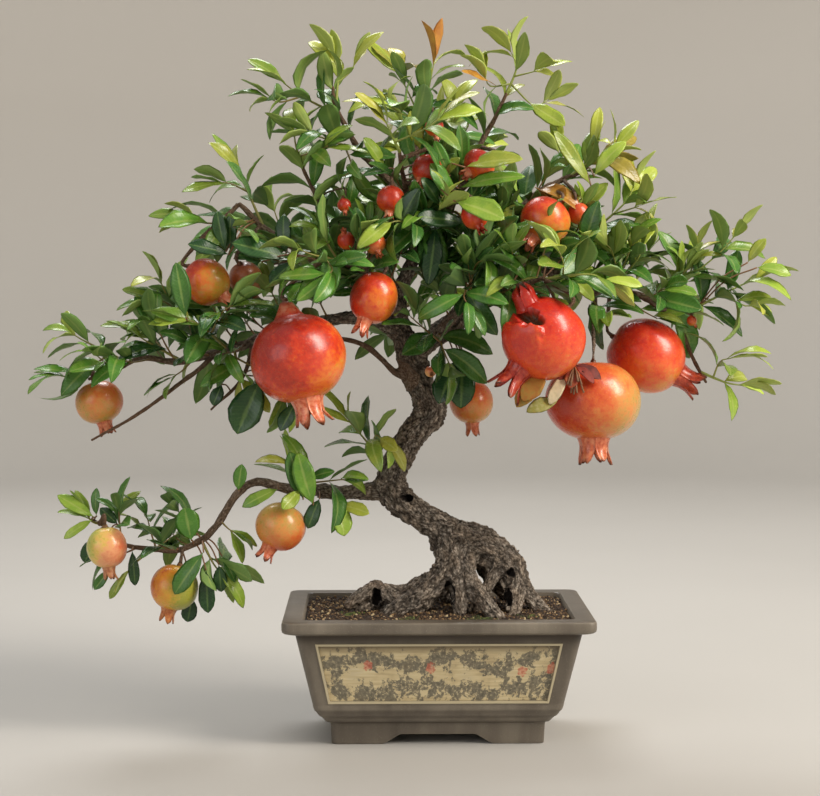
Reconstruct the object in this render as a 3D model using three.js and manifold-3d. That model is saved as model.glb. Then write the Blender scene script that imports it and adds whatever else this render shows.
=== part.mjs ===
// Pomegranate bonsai: a leaning trunk on bare standing roots, its branches and twigs, leafy shoots,
// fruits with crowned ends, the soil, and a footed rectangular clay pot with recessed panels.
// Millimetres, +Z up, +X to the right of the front, +Y to the back.
import * as THREE from "three";
import { mergeVertices } from "three/addons/utils/BufferGeometryUtils.js";
import Module from "manifold-3d";

const wasm = await Module();
wasm.setup();

// ---------------------------------------------------------------- driving dimensions

// The tree and pot are drawn about the middle of the pot's base. The whole is then moved so that the
// middle of the space it takes up stands over the origin.
const MIDDLE_X = -20.7;
const MIDDLE_Y = 12.5;

const GAP = 0.3; // clearance between pieces that touch

// Pot: half sizes of the rim's outline, and the outside and inside as [height, distance in from the rim].
const RIM_HALF_X = 150;
const RIM_HALF_Y = 100;
const RIM_CORNER = 16;
const CORNER_STEPS = 3;
const POT_HEIGHT = 127;
const POT_OUTSIDE = [
  [0, 46.5],
  [20, 45.5],
  [24, 43],
  [28, 36.5],
  [36, 31],
  [49, 27],
  [113, 12.5],
  [114.5, 5],
  [117, 0.5],
  [125.5, 0],
  [POT_HEIGHT, 1.5],
];
const POT_INSIDE = [
  [25, 56],
  [33, 45],
  [50, 37],
  [112, 23.5],
  [POT_HEIGHT, 19.5],
];
const RECESS_HEIGHT = 12; // hollow between the feet
const RECESS_INSET = 58;
const DRAIN_RADIUS = 11;
const DRAIN_X = 52;
const SCREEN_SIDE = 32;
const SCREEN_THICKNESS = 1.2;
const SCREEN_CELLS = 2;
const SCREEN_BAR = 2.4;

// Cut-outs between the feet: half width at the table and at the top, and height.
const FRONT_ARCH = { foot: 57, top: 36, height: 10 };
const SIDE_ARCH = { foot: 27, top: 15, height: 9 };

// Recessed panels: half width at the top and bottom, height span, rim width and depths.
const PANEL_LOW = 46;
const PANEL_HIGH = 102;
const PANEL_RECESS = 1.8;
const PANEL_BEAD = 2.2;
const PANEL_PROUD = 0.9;
const WALL_SLOPE = 14.5 / 64; // how far the wall leans out for each millimetre of height
const LONG_PANEL = { high: 115.5, low: 104.5, wall: RIM_HALF_Y };
const SHORT_PANEL = { high: 60, low: 52, wall: RIM_HALF_X };

const SOIL_EDGE = 121.5;
const SOIL_MOUND = 4.5;
const SOIL_LUMP = 1.3;
const SOIL_CELLS_X = 10;
const SOIL_CELLS_Y = 6;

// Wood: centre lines as [x, y, z, radius].
const TRUNK = [
  [82, 1, 148, 11],
  [77, 1, 161, 15],
  [60, 0, 177, 18.5],
  [36, -2, 190, 21],
  [13, -4, 200, 20],
  [-12, -8, 216, 18],
  [-36, -10, 233, 18.5],
  [-45, -8, 253, 17.5],
  [-41, -4, 270, 15.5],
  [-30, 2, 291, 16],
  [-15, 6, 309, 17],
  [-7, 6, 324, 17.5],
  [-13, 4, 341, 16.5],
  [-22, 2, 361, 17],
  [-30, 0, 388, 12],
];
const TRUNK_STEP = 19; // length of one step along the trunk, a root and a branch
const ROOT_STEP = 24;
const BRANCH_STEP = 34;
const TRUNK_FLUTE = 0.07; // depth of the ridges along the grain, as a share of the radius
const ROOT_FLUTE = 0.05;
const ROOTS = [
  [[10, -6, 196, 18], [10, -16, 172, 16], [-2, -24, 152, 14], [-22, -30, 136, 15], [-44, -34, 124, 12], [-60, -38, 108, 5]],
  [[16, -10, 186, 15], [20, -26, 160, 12], [22, -40, 136, 9], [22, -48, 108, 6]],
  [[22, -8, 186, 15], [30, -28, 160, 11.5], [44, -44, 140, 10.5], [58, -56, 122, 10], [64, -60, 106, 6]],
  [[60, -4, 172, 12], [52, -14, 152, 8.5], [40, -22, 132, 8], [32, -26, 108, 6]],
  [[68, -2, 174, 15], [78, -12, 156, 13.5], [76, -24, 138, 11], [72, -36, 118, 9], [70, -42, 104, 6]],
  [[76, 0, 166, 15], [86, -4, 146, 12], [98, -8, 130, 9], [113, -12, 117, 6], [122, -14, 106, 4]],
  [[-6, -12, 156, 11], [-30, -12, 141, 12], [-52, -8, 137, 14], [-60, -6, 146, 12], [-62, -6, 157, 9]],
  [[-50, -8, 137, 13], [-70, -12, 128, 11], [-84, -16, 115, 8], [-92, -20, 105, 4]],
  [[14, 4, 188, 15], [8, 26, 160, 11], [-4, 40, 134, 9], [-14, 52, 108, 6]],
  [[48, 6, 176, 15], [58, 26, 152, 11.5], [72, 40, 130, 9], [84, 50, 108, 6]],
];
const BRANCHES = {
  left: [
    [-28, 1, 372, 14], [-34, 0, 397, 12], [-50, -4, 408, 9.5], [-66, -8, 413, 8.5], [-95, -12, 413, 7.5],
    [-135, -15, 406, 6.5], [-180, -16, 392, 5.5], [-219, -18, 378, 4.5], [-259, -20, 372, 3.6],
    [-288, -20, 374, 3], [-315, -20, 364, 2.4], [-340, -22, 354, 1.6],
  ],
  left_bare_twig: [[-219, -18, 378, 3], [-243, -22, 356, 2.4], [-296, -26, 318, 1.8], [-337, -28, 295, 1.2]],
  left_short_twig: [[-180, -16, 392, 3], [-189, -20, 358, 2], [-221, -24, 324, 1.2]],
  left_thin: [[-22, 0, 352, 5], [-42, -10, 362, 3.4], [-74, -16, 388, 2.8], [-104, -24, 396, 2]],
  cascade: [
    [-40, -8, 252, 13], [-60, -9, 243, 10.5], [-91, -10, 241, 8.5], [-118, -12, 242, 7], [-160, -14, 250, 5],
    [-180, -15, 251, 4.6], [-195, -15, 242, 4.3], [-222, -16, 204, 3.9], [-234, -16, 193, 3.5],
    [-259, -18, 186, 3.1], [-304, -14, 189, 2.4], [-323, -14, 206, 2], [-340, -16, 216, 1.4],
  ],
  upper_left: [
    [-38, -2, 400, 10], [-57, -5, 411, 8], [-76, -8, 441, 6.5], [-105, -10, 466, 5.5], [-145, -12, 486, 4.5],
    [-173, -14, 505, 3.6], [-194, -16, 525, 2.4],
  ],
  left_tower: [[-100, -9, 462, 4.6], [-106, -6, 501, 3.2], [-121, -9, 537, 2.4], [-132, -11, 562, 1.6]],
  leader: [
    [-30, 0, 380, 13], [-36, 0, 411, 11], [-36, 0, 441, 9.5], [-21, -2, 481, 8], [-16, -2, 530, 6],
    [-21, -1, 580, 4], [-22, -2, 612, 2.4],
  ],
  top_left: [[-18, -2, 512, 5], [-43, 0, 543, 4], [-80, 0, 584, 3], [-99, 0, 622, 2.2], [-102, 0, 640, 1.6]],
  top_right: [[-22, -1, 470, 6], [3, 0, 500, 4.8], [33, 0, 560, 3.6], [51, 0, 599, 2.8], [69, 0, 634, 1.8]],
  right: [
    [-24, 2, 364, 13], [-12, 0, 385, 11], [15, -4, 403, 10], [33, -5, 431, 8.5], [63, -6, 461, 7],
    [102, -6, 466, 6], [145, -6, 442, 5], [191, -6, 437, 3.8], [214, -7, 428, 3.2], [236, -8, 410, 2.6],
    [257, -8, 366, 2], [266, -9, 350, 1.4],
  ],
  right_tip: [[206, -7, 432, 3], [228, -8, 426, 2.5], [252, -8, 417, 1.8]],
  right_shoulder: [[96, -6, 466, 4], [122, -6, 484, 3.2], [152, -6, 496, 2]],
  upper_right: [[33, -5, 431, 7], [63, -4, 490, 5.4], [92, -2, 530, 4.2], [122, 0, 548, 3.2], [147, -2, 560, 2]],
  back_left: [[-38, 2, 430, 7], [-70, 40, 452, 5], [-112, 78, 470, 4], [-160, 112, 470, 3], [-200, 128, 458, 1.8]],
  back_right: [[-8, 2, 390, 8], [30, 40, 430, 5.4], [70, 84, 458, 4.2], [112, 116, 472, 3], [150, 132, 468, 1.8]],
  back_top: [[-21, -2, 484, 6], [-14, 36, 530, 4.2], [-2, 70, 566, 3], [10, 92, 592, 1.8]],
  back_low: [[-28, 2, 372, 7], [-40, 50, 396, 4.2], [-40, 98, 420, 3], [-26, 136, 424, 1.8]],
  front_left: [[-37, -2, 420, 7], [-56, -36, 446, 5], [-83, -62, 466, 4], [-112, -86, 468, 2.4]],
  front_right: [[-4, -2, 392, 7], [24, -36, 424, 5], [60, -64, 440, 4], [98, -84, 452, 2.4]],
  front_top: [[-19, -2, 500, 5], [-31, -34, 534, 3.4], [-37, -62, 572, 1.8]],
};

// Fruits: centre, equatorial radius, half height, the way the crown points, and colour.
const FRUITS = {
  fruit_cascade_tip: { at: [-321, -44, 192], r: 19.5, h: 20, crown: [0.1, -0.1, -1], tint: "pale" },
  fruit_cascade_low: { at: [-258, -26, 150], r: 23.5, h: 22.5, crown: [-0.25, -0.1, -1], tint: "yellow" },
  fruit_cascade_near: { at: [-153, -36, 211], r: 24.7, h: 23, crown: [-0.5, -0.2, -0.9], tint: "orange" },
  fruit_left_tip: { at: [-332, -10, 331], r: 23.5, h: 21, crown: [0.25, -0.1, -0.95], tint: "orange" },
  fruit_left_big: { at: [-133, -95, 377], r: 45.6, h: 41, crown: [0.22, -0.15, -0.96], tint: "red", neck: 14 },
  fruit_centre_left: { at: [-62, -85, 434], r: 22.6, h: 24.5, crown: [-0.35, -0.3, -0.85], tint: "red" },
  fruit_left_upper: { at: [-223, -46, 449], r: 22, h: 23, crown: [0.75, -0.2, -0.65], tint: "red" },
  fruit_left_behind: { at: [-187, -16, 452], r: 16.5, h: 17, crown: [0.3, 0.4, -0.8], tint: "dull" },
  fruit_top_left: { at: [-11, -60, 556], r: 14.4, h: 14, crown: [-0.4, -0.45, -0.8], tint: "red" },
  fruit_top: { at: [-4, -50, 597], r: 9, h: 9, crown: [0.2, -0.2, -0.9], tint: "red" },
  fruit_top_low: { at: [-46, -70, 527], r: 13.3, h: 13, crown: [-0.1, -0.3, -0.9], tint: "red" },
  fruit_top_right: { at: [39, -50, 560], r: 17, h: 13, crown: [-0.8, -0.3, -0.5], tint: "red" },
  fruit_open: { at: [33, -84, 511], r: 12.5, h: 13, crown: [0.35, -0.5, -0.8], tint: "deep" },
  fruit_small_left: { at: [-88, -75, 488], r: 8.5, h: 8.5, crown: [-0.2, -0.5, 0.8], tint: "red" },
  fruit_small_front: { at: [-61, -90, 485], r: 10.4, h: 10, crown: [0.3, -0.5, -0.8], tint: "orange" },
  fruit_right_upper: { at: [102, -60, 507], r: 24.3, h: 22, crown: [-0.6, -0.3, -0.75], tint: "red" },
  fruit_right_small: { at: [136, -38, 515], r: 10.6, h: 10.5, crown: [0.3, 0.1, -0.95], tint: "orange" },
  fruit_split: { at: [97, -105, 396], r: 39.2, h: 38, crown: [-0.62, -0.15, -0.77], tint: "deep" },
  fruit_right_red: { at: [207, -5, 376], r: 36.4, h: 39, crown: [0.85, -0.1, -0.5], tint: "deep" },
  fruit_right_low: { at: [149, -60, 335], r: 46, h: 38, crown: [0, -0.12, -1], tint: "orange" },
  fruit_behind_trunk: { at: [37, 55, 327], r: 22.4, h: 22, crown: [0.05, 0, -1], tint: "orange" },
};
const FRUIT_COLOURS = { red: 0xc9442c, deep: 0xb02f2a, orange: 0xd98032, yellow: 0xdfa83f, pale: 0xdfa066, dull: 0x9a6a55 };
const STALK_RADIUS = 2.2;
const STALK_SIDES = 3;
const STALK_STEPS = 3;
const STALK_CLEARANCE = 1; // between the end of a twig and the top of its fruit
const BIG_FRUIT = 30;
const SMALL_FRUIT = 18;
const CLEAR_FRUIT = [1.02, 1.02, 1.02]; // the room that leaves and stems keep round a fruit

// Leafy shoots: each stem is [start, middle, tip], and its start is drawn onto the nearest wood.
const SHOOTS = {
  top_centre: [
    [[-20, 0, 579], [-9, -8, 634], [3, -5, 692]],
    [[-17, -4, 607], [-32, 10, 644], [-48, 15, 672]],
    [[-15, -4, 593], [-38, -30, 613], [-60, -36, 632]],
  ],
  top_front: [
    [[-36, -62, 572], [-46, -74, 590], [-56, -80, 612]],
    [[-40, -68, 579], [-14, -86, 592], [14, -92, 612]],
  ],
  top_left: [
    [[-101, 0, 621], [-97, 0, 652], [-103, -2, 680]],
    [[-98, 0, 641], [-85, 4, 655], [-76, 6, 672]],
  ],
  top_left_side: [
    [[-97, 0, 610], [-132, -8, 630], [-168, -8, 656]],
    [[-130, -8, 628], [-152, -12, 624], [-176, -14, 631]],
  ],
  upper_left: [
    [[-75, 0, 578], [-112, -20, 589], [-139, -26, 600]],
    [[-64, -2, 569], [-83, -34, 559], [-100, -44, 541]],
  ],
  top_right: [
    [[66, 0, 628], [78, 0, 658], [69, 0, 688]],
    [[76, 0, 650], [92, -4, 654], [106, -6, 658]],
    [[68, 0, 634], [94, -6, 622], [122, -8, 630]],
    [[68, 0, 634], [52, -10, 640], [41, -12, 660]],
  ],
  left_tower: [
    [[-132, -11, 562], [-138, -13, 582], [-141, -12, 606]],
    [[-134, -12, 568], [-116, -28, 576], [-96, -38, 584]],
  ],
  left_shoulder: [
    [[-170, -14, 502], [-186, -14, 539], [-204, -16, 574]],
    [[-183, -14, 539], [-200, -18, 544], [-218, -20, 547]],
  ],
  left_point: [
    [[-178, -15, 508], [-222, -20, 506], [-260, -22, 515]],
    [[-205, -18, 508], [-204, -48, 503], [-184, -66, 498]],
  ],
  left_upper: [
    [[-225, -16, 378], [-262, -14, 432], [-279, -20, 468]],
    [[-258, -14, 425], [-272, -20, 432], [-286, -26, 430]],
  ],
  left_tip: [
    [[-300, -20, 370], [-343, -22, 391], [-369, -25, 407]],
    [[-312, -20, 366], [-352, -25, 358], [-381, -28, 357]],
  ],
  left_dense: [
    [[-250, -20, 374], [-277, -30, 388], [-303, -35, 405]],
    [[-262, -24, 380], [-284, -2, 398], [-300, 14, 402]],
  ],
  left_middle: [
    [[-205, -18, 382], [-228, -60, 408], [-255, -68, 418]],
    [[-222, -48, 400], [-205, -82, 420], [-184, -92, 434]],
    [[-216, -30, 390], [-222, 10, 406], [-232, 42, 416]],
  ],
  left_hanging: [
    [[-200, -17, 384], [-194, -36, 366], [-186, -44, 338]],
    [[-172, -16, 393], [-152, -20, 350], [-146, -24, 326]],
  ],
  front_left: [
    [[-90, -66, 467], [-118, -98, 474], [-144, -112, 484]],
    [[-108, -90, 470], [-100, -122, 460], [-116, -134, 448]],
  ],
  trunk_left: [
    [[-44, -8, 262], [-74, -16, 298], [-101, -18, 329]],
    [[-66, -14, 287], [-60, -34, 300], [-48, -50, 290]],
  ],
  cascade_near: [
    [[-123, -12, 247], [-139, -18, 262], [-146, -20, 280]],
    [[-112, -16, 243], [-98, -32, 256], [-84, -44, 258]],
  ],
  cascade_mid: [
    [[-232, -16, 194], [-220, -26, 174], [-204, -24, 152]],
    [[-222, -24, 178], [-214, 0, 170], [-206, 24, 158]],
  ],
  cascade_tip: [
    [[-340, -16, 216], [-352, -18, 226], [-368, -20, 240]],
    [[-348, -18, 222], [-330, -4, 240], [-312, 8, 250]],
  ],
  cascade_low: [
    [[-282, -16, 187], [-296, -22, 174], [-312, -28, 154]],
    [[-268, -16, 186], [-262, 8, 196], [-260, 30, 194]],
  ],
  centre_front: [
    [[26, -40, 430], [34, -86, 464], [58, -112, 476]],
    [[30, -75, 448], [22, -112, 436], [30, -128, 418]],
  ],
  centre_low: [
    [[2, -12, 396], [4, -50, 386], [19, -60, 350]],
    [[0, -38, 390], [-18, -70, 408], [-36, -88, 424]],
  ],
  centre_high: [
    [[-21, -4, 490], [-9, -60, 508], [14, -88, 532]],
    [[-14, -44, 500], [-38, -84, 506], [-60, -98, 500]],
  ],
  right_crown: [
    [[132, 0, 552], [150, -5, 568], [157, -6, 592]],
    [[122, 0, 549], [122, 2, 573], [117, 4, 590]],
    [[144, -2, 560], [166, -12, 572], [180, -14, 584]],
  ],
  right_shoulder: [
    [[149, -5, 494], [183, -10, 525], [202, -10, 556]],
    [[172, -9, 514], [188, -22, 520], [204, -30, 525]],
  ],
  right_upper: [
    [[166, -12, 440], [194, -18, 468], [208, -20, 505]],
    [[181, -15, 455], [168, -44, 478], [152, -58, 494]],
    [[172, -10, 446], [186, 20, 460], [196, 48, 474]],
  ],
  right_tip_high: [
    [[236, -8, 424], [250, -8, 459], [263, -10, 502]],
    [[248, -8, 450], [278, -12, 478], [308, -14, 512]],
  ],
  right_tip: [
    [[246, -8, 419], [293, -12, 443], [341, -10, 462]],
    [[280, -12, 436], [300, -24, 426], [318, -28, 427]],
    [[264, -10, 428], [256, 22, 438], [236, 50, 448]],
  ],
  right_low: [
    [[260, -8, 360], [285, -12, 350], [319, -12, 344]],
    [[258, -9, 364], [277, -24, 371], [298, -30, 378]],
  ],
  right_front: [
    [[98, -80, 450], [140, -92, 456], [176, -94, 442]],
    [[112, -84, 453], [114, -112, 468], [106, -118, 486]],
  ],
  back_left: [
    [[-140, 98, 471], [-160, 128, 506], [-176, 138, 548]],
    [[-166, 124, 500], [-206, 142, 496], [-246, 138, 490]],
    [[-160, 120, 490], [-142, 140, 500], [-124, 156, 494]],
    [[-146, 108, 484], [-96, 88, 506], [-44, 64, 520]],
    [[-150, 112, 488], [-112, 104, 516], [-72, 96, 548]],
  ],
  back_right: [
    [[112, 116, 472], [134, 134, 500], [160, 140, 536]],
    [[130, 130, 494], [176, 132, 490], [216, 118, 492]],
    [[130, 130, 494], [112, 144, 504], [94, 158, 498]],
    [[118, 121, 482], [74, 92, 502], [28, 62, 520]],
    [[122, 124, 486], [92, 106, 520], [62, 92, 556]],
  ],
  back_middle: [
    [[-2, 70, 566], [10, 104, 596], [14, 120, 634]],
    [[6, 96, 588], [-22, 122, 584], [-46, 130, 592]],
    [[8, 100, 592], [44, 118, 588], [66, 118, 596]],
    [[2, 84, 578], [16, 60, 604], [30, 44, 640]],
    [[2, 84, 578], [-22, 62, 596], [-48, 44, 620]],
  ],
  back_low: [
    [[-40, 98, 420], [-8, 128, 436], [24, 150, 438]],
    [[-20, 118, 430], [-52, 142, 444], [-78, 154, 446]],
  ],
};
const STEM_BASE_RADIUS = 1.9;
const FORK_BASE_RADIUS = 1.1;
const STEM_TIP_RADIUS = 0.9;
const STEM_SIDES = 4;
const STEM_STEPS = 2;
const FORK_PLACES = [0.34, 0.5, 0.66, 0.82];

// Leaves grow in opposite pairs, each pair turned a quarter from the one before.
const PAIR_SPACING = 36;
const TIP_PAIR = 9; // from the end leaf to the nearest pair
const BARE_BASE = 10;
const END_LEAF_REACH = 28;
const LOWEST_PLACE = 0.1;
const ROUND_UP = 0.7; // share of a spacing that earns one more pair
const LEAF_LENGTH = 43;
const LEAF_SPREAD = 0.16;
const LEAF_WIDTH = 0.4;
const LEAF_KEEL = 1.7;
const LEAF_ARCH = 0.2;
const LEAF_STATIONS = [0, 0.34, 0.7, 1];
const LEAF_OUTLINE = [0, 0.86, 0.94, 0];
const END_OPEN = 0.12; // how far a leaf opens from its stem: at the tip, in the first pair and in the third
const PAIR_OPEN = 0.72;
const OLD_PAIR_OPEN = 0.94;
const OPEN_SPREAD = 0.25;
const END_SHARE = 0.86; // length of the young leaves against the others
const YOUNG_SHARE = 0.9;
const FACE_UP = 0.9; // how much the upper side looks up, and forward along the stem
const FACE_FORWARD = 0.4;
const MADE = { start: -0.2, length: 1, width: 1 }; // start is from the middle of the stem to the leaf's foot
const TRIED = { start: -0.2, length: 1.03, width: 1.1 }; // the room a leaf keeps from other pieces
const TRIED_OUTER = { start: 2.5, length: 1.03, width: 1.1 }; // and from its own shoot's leaves
const LEAF_TRIES = [[0, 0], [26, 0], [-24, 0], [0, 34], [0, -34], [30, 40], [-28, -40]];

// ---------------------------------------------------------------- numbers drawn by rule

const SPIN_DRAW = 77; // numbers of the draws that aren't a leaf's own
const FACING_DRAW = 500;
const LENGTH_DRAW = 900;

// A number from 0 to 1 that depends only on the two whole numbers given.
function chance(seed, index) {
  let n = Math.imul(seed + 1, 0x9e3779b1) ^ Math.imul(index + 1, 0x85ebca6b);
  n = Math.imul(n ^ (n >>> 15), 0x2c1b3c6d);
  n = Math.imul(n ^ (n >>> 12), 0x297a2d39);
  return ((n ^ (n >>> 15)) >>> 0) / 4294967296;
}

// ---------------------------------------------------------------- solids

function solid(geometry) {
  const bare = geometry.index ? geometry.toNonIndexed() : geometry.clone();
  bare.deleteAttribute("normal");
  bare.deleteAttribute("uv");
  const merged = mergeVertices(bare, 1e-4);
  return new wasm.Manifold(
    new wasm.Mesh({
      numProp: 3,
      vertProperties: merged.attributes.position.array,
      triVerts: new Uint32Array(merged.index.array),
    }),
  );
}

function join(solids) {
  return wasm.Manifold.union(solids);
}

// The biggest body of a solid: scraps that a cut leaves loose are dropped.
function largest(shape) {
  const bodies = shape.decompose();
  return bodies.reduce((best, body) => (body.volume() > best.volume() ? body : best));
}

function geometryOf(shape) {
  const mesh = shape.getMesh();
  const geometry = new THREE.BufferGeometry();
  geometry.setAttribute("position", new THREE.BufferAttribute(mesh.vertProperties, 3));
  geometry.setIndex(new THREE.BufferAttribute(mesh.triVerts, 1));
  return geometry;
}

function meshOf(name, geometry, material) {
  const mesh = new THREE.Mesh(geometry, material);
  mesh.name = name;
  return mesh;
}

function finish(color, roughness) {
  return new THREE.MeshStandardMaterial({ color, roughness, metalness: 0, flatShading: true });
}

function boxesMeet(a, b) {
  return [0, 1, 2].every((axis) => a.min[axis] < b.max[axis] && a.max[axis] > b.min[axis]);
}

function collides(shape, others) {
  const box = shape.boundingBox();
  return others.some((other) => boxesMeet(box, other.box) && shape.intersect(other.shape).volume() > 1e-6);
}

function obstacle(shape) {
  return { shape, box: shape.boundingBox() };
}

// ---------------------------------------------------------------- pot

function roundedRectangle(halfX, halfY, corner) {
  const shape = new THREE.Shape();
  shape.absarc(halfX - corner, halfY - corner, corner, 0, Math.PI / 2);
  shape.absarc(corner - halfX, halfY - corner, corner, Math.PI / 2, Math.PI);
  shape.absarc(corner - halfX, corner - halfY, corner, Math.PI, 1.5 * Math.PI);
  shape.absarc(halfX - corner, corner - halfY, corner, 1.5 * Math.PI, 2 * Math.PI);
  return shape;
}

// The rim's outline stacked through the levels, each [height, distance in from the rim].
function tower(levels, extraInset = 0) {
  const steps = levels.length - 1;
  const geometry = new THREE.ExtrudeGeometry(roundedRectangle(RIM_HALF_X, RIM_HALF_Y, RIM_CORNER), {
    depth: 1,
    steps,
    bevelEnabled: false,
    curveSegments: CORNER_STEPS,
  });
  const place = geometry.attributes.position;
  for (let i = 0; i < place.count; i++) {
    const [height, inset] = levels[Math.round(place.getZ(i) * steps)];
    const scaleX = 1 - (inset + extraInset) / RIM_HALF_X;
    const scaleY = 1 - (inset + extraInset) / RIM_HALF_Y;
    place.setXYZ(i, place.getX(i) * scaleX, place.getY(i) * scaleY, height);
  }
  return solid(geometry);
}

// An outline in X and Z, pulled out along +Y from -depth / 2 to depth / 2.
function upright(shape, depth) {
  const geometry = new THREE.ExtrudeGeometry(shape, { depth, bevelEnabled: false, curveSegments: 3 });
  geometry.rotateX(Math.PI / 2);
  geometry.translate(0, depth / 2, 0);
  return geometry;
}

function archOutline({ foot, top, height }) {
  const shape = new THREE.Shape();
  shape.moveTo(-foot, -1);
  shape.lineTo(foot, -1);
  shape.lineTo(foot, 0);
  shape.quadraticCurveTo((foot + top) / 2, 0.2 * height, (2 * top + foot) / 3, 0.7 * height);
  shape.lineTo(top, height);
  shape.lineTo(-top, height);
  shape.lineTo(-(2 * top + foot) / 3, 0.7 * height);
  shape.quadraticCurveTo(-(foot + top) / 2, 0.2 * height, -foot, 0);
  return shape;
}

// A block with the panel's tapered outline that lies against the front wall, from `from` to `to` outside it.
function panelBlock(panel, margin, from, to) {
  const shape = new THREE.Shape();
  shape.moveTo(-panel.low - margin, PANEL_LOW - margin);
  shape.lineTo(panel.low + margin, PANEL_LOW - margin);
  shape.lineTo(panel.high + margin, PANEL_HIGH + margin);
  shape.lineTo(-panel.high - margin, PANEL_HIGH + margin);
  const geometry = upright(shape, to - from);
  const place = geometry.attributes.position;
  const middle = (from + to) / 2;
  const [lowHeight, lowInset] = POT_OUTSIDE[5];
  for (let i = 0; i < place.count; i++) {
    const inset = lowInset - WALL_SLOPE * (place.getZ(i) - lowHeight);
    place.setY(i, place.getY(i) - (panel.wall - inset) - middle);
  }
  return geometry;
}

function withPanel(body, panel, turn) {
  const bead = solid(panelBlock(panel, PANEL_BEAD, -4, PANEL_PROUD).rotateZ(turn));
  const field = solid(panelBlock(panel, 0, -PANEL_RECESS, 6).rotateZ(turn));
  return body.add(bead).subtract(field);
}

function makePot() {
  let body = tower(POT_OUTSIDE).subtract(tower([...POT_INSIDE, [POT_HEIGHT + 2, 17.5]]));
  body = withPanel(body, LONG_PANEL, 0);
  body = withPanel(body, LONG_PANEL, Math.PI);
  body = withPanel(body, SHORT_PANEL, Math.PI / 2);
  body = withPanel(body, SHORT_PANEL, -Math.PI / 2);
  const recess = tower([[-1, RECESS_INSET], [RECESS_HEIGHT, RECESS_INSET + 2]]);
  const frontArch = solid(upright(archOutline(FRONT_ARCH), 2 * RIM_HALF_Y));
  const sideArch = solid(upright(archOutline(SIDE_ARCH), 2 * RIM_HALF_X).rotateZ(Math.PI / 2));
  body = body.subtract(join([recess, frontArch, sideArch]));
  for (const side of [-1, 1]) {
    const drain = new THREE.CylinderGeometry(DRAIN_RADIUS, DRAIN_RADIUS, POT_INSIDE[1][0], 12);
    drain.rotateX(Math.PI / 2);
    body = body.subtract(solid(drain.translate(side * DRAIN_X, 0, POT_INSIDE[1][0] / 2)));
  }
  return body;
}

// A square of plastic mesh that lies over a drain hole, under the soil.
function makeScreen() {
  const cell = (SCREEN_SIDE - SCREEN_BAR) / SCREEN_CELLS;
  const opening = new THREE.BoxGeometry(cell - SCREEN_BAR, cell - SCREEN_BAR, 2 * SCREEN_THICKNESS);
  let screen = solid(new THREE.BoxGeometry(SCREEN_SIDE, SCREEN_SIDE, SCREEN_THICKNESS));
  for (let column = 0; column < SCREEN_CELLS; column++) {
    for (let row = 0; row < SCREEN_CELLS; row++) {
      const x = (column - (SCREEN_CELLS - 1) / 2) * cell;
      const y = (row - (SCREEN_CELLS - 1) / 2) * cell;
      screen = screen.subtract(solid(opening.clone().translate(x, y, 0)));
    }
  }
  return screen;
}

// ---------------------------------------------------------------- soil

function soilHeight(x, y) {
  const mound = (1 - (x / RIM_HALF_X) ** 2) * (1 - (y / RIM_HALF_Y) ** 2);
  const lumps = Math.sin(x * 0.21 + y * 0.13) + Math.sin(y * 0.31 - x * 0.07) + Math.sin(x * 0.47 + 1.7);
  return SOIL_EDGE + SOIL_MOUND * mound + (SOIL_LUMP * lumps) / 3;
}

function makeSoil(wood) {
  const floor = POT_INSIDE[0][0] + SCREEN_THICKNESS + 2 * GAP;
  const inside = POT_INSIDE.map(([height, inset], i) => [i ? height : floor, inset]);
  const block = new THREE.BoxGeometry(2 * RIM_HALF_X, 2 * RIM_HALF_Y, 1, SOIL_CELLS_X, SOIL_CELLS_Y, 1);
  const place = block.attributes.position;
  for (let i = 0; i < place.count; i++) {
    const top = place.getZ(i) > 0;
    place.setZ(i, top ? soilHeight(place.getX(i), place.getY(i)) : 0);
  }
  return largest(tower(inside, GAP).intersect(solid(block)).subtract(wood));
}

// ---------------------------------------------------------------- wood

function curveThrough(points) {
  const places = points.map(([x, y, z]) => new THREE.Vector3(x, y, z));
  return new THREE.CatmullRomCurve3(places, false, "catmullrom", 0.5);
}

// A closed rod along a curve. radiusAt takes the curve's own parameter, 0 to 1, and the angle round it.
function rod(curve, radiusAt, sides, steps, grow, frames = curve.computeFrenetFrames(steps, false)) {
  const geometry = new THREE.CylinderGeometry(1, 1, 1, sides, steps);
  const place = geometry.attributes.position;
  const point = new THREE.Vector3();
  for (let i = 0; i < place.count; i++) {
    const [x, y, z] = [place.getX(i), place.getY(i), place.getZ(i)];
    const ring = Math.round((0.5 - y) * steps);
    const radius = radiusAt(curve.getUtoTmapping(ring / steps), Math.atan2(z, x)) + grow;
    curve.getPointAt(ring / steps, point);
    point.addScaledVector(frames.normals[ring], x * radius);
    point.addScaledVector(frames.binormals[ring], z * radius);
    if (ring === 0) point.addScaledVector(frames.tangents[ring], -grow);
    if (ring === steps) point.addScaledVector(frames.tangents[ring], grow);
    place.setXYZ(i, point.x, point.y, point.z);
  }
  return solid(geometry);
}

function radiusBetween(points, t) {
  const along = t * (points.length - 1);
  const index = Math.min(Math.floor(along), points.length - 2);
  return points[index][3] + (points[index + 1][3] - points[index][3]) * (along - index);
}

function sidesFor(radius) {
  if (radius > 14) return 10;
  if (radius > 9) return 7;
  if (radius > 6) return 6;
  return radius > 4.4 ? 5 : 4;
}

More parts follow.
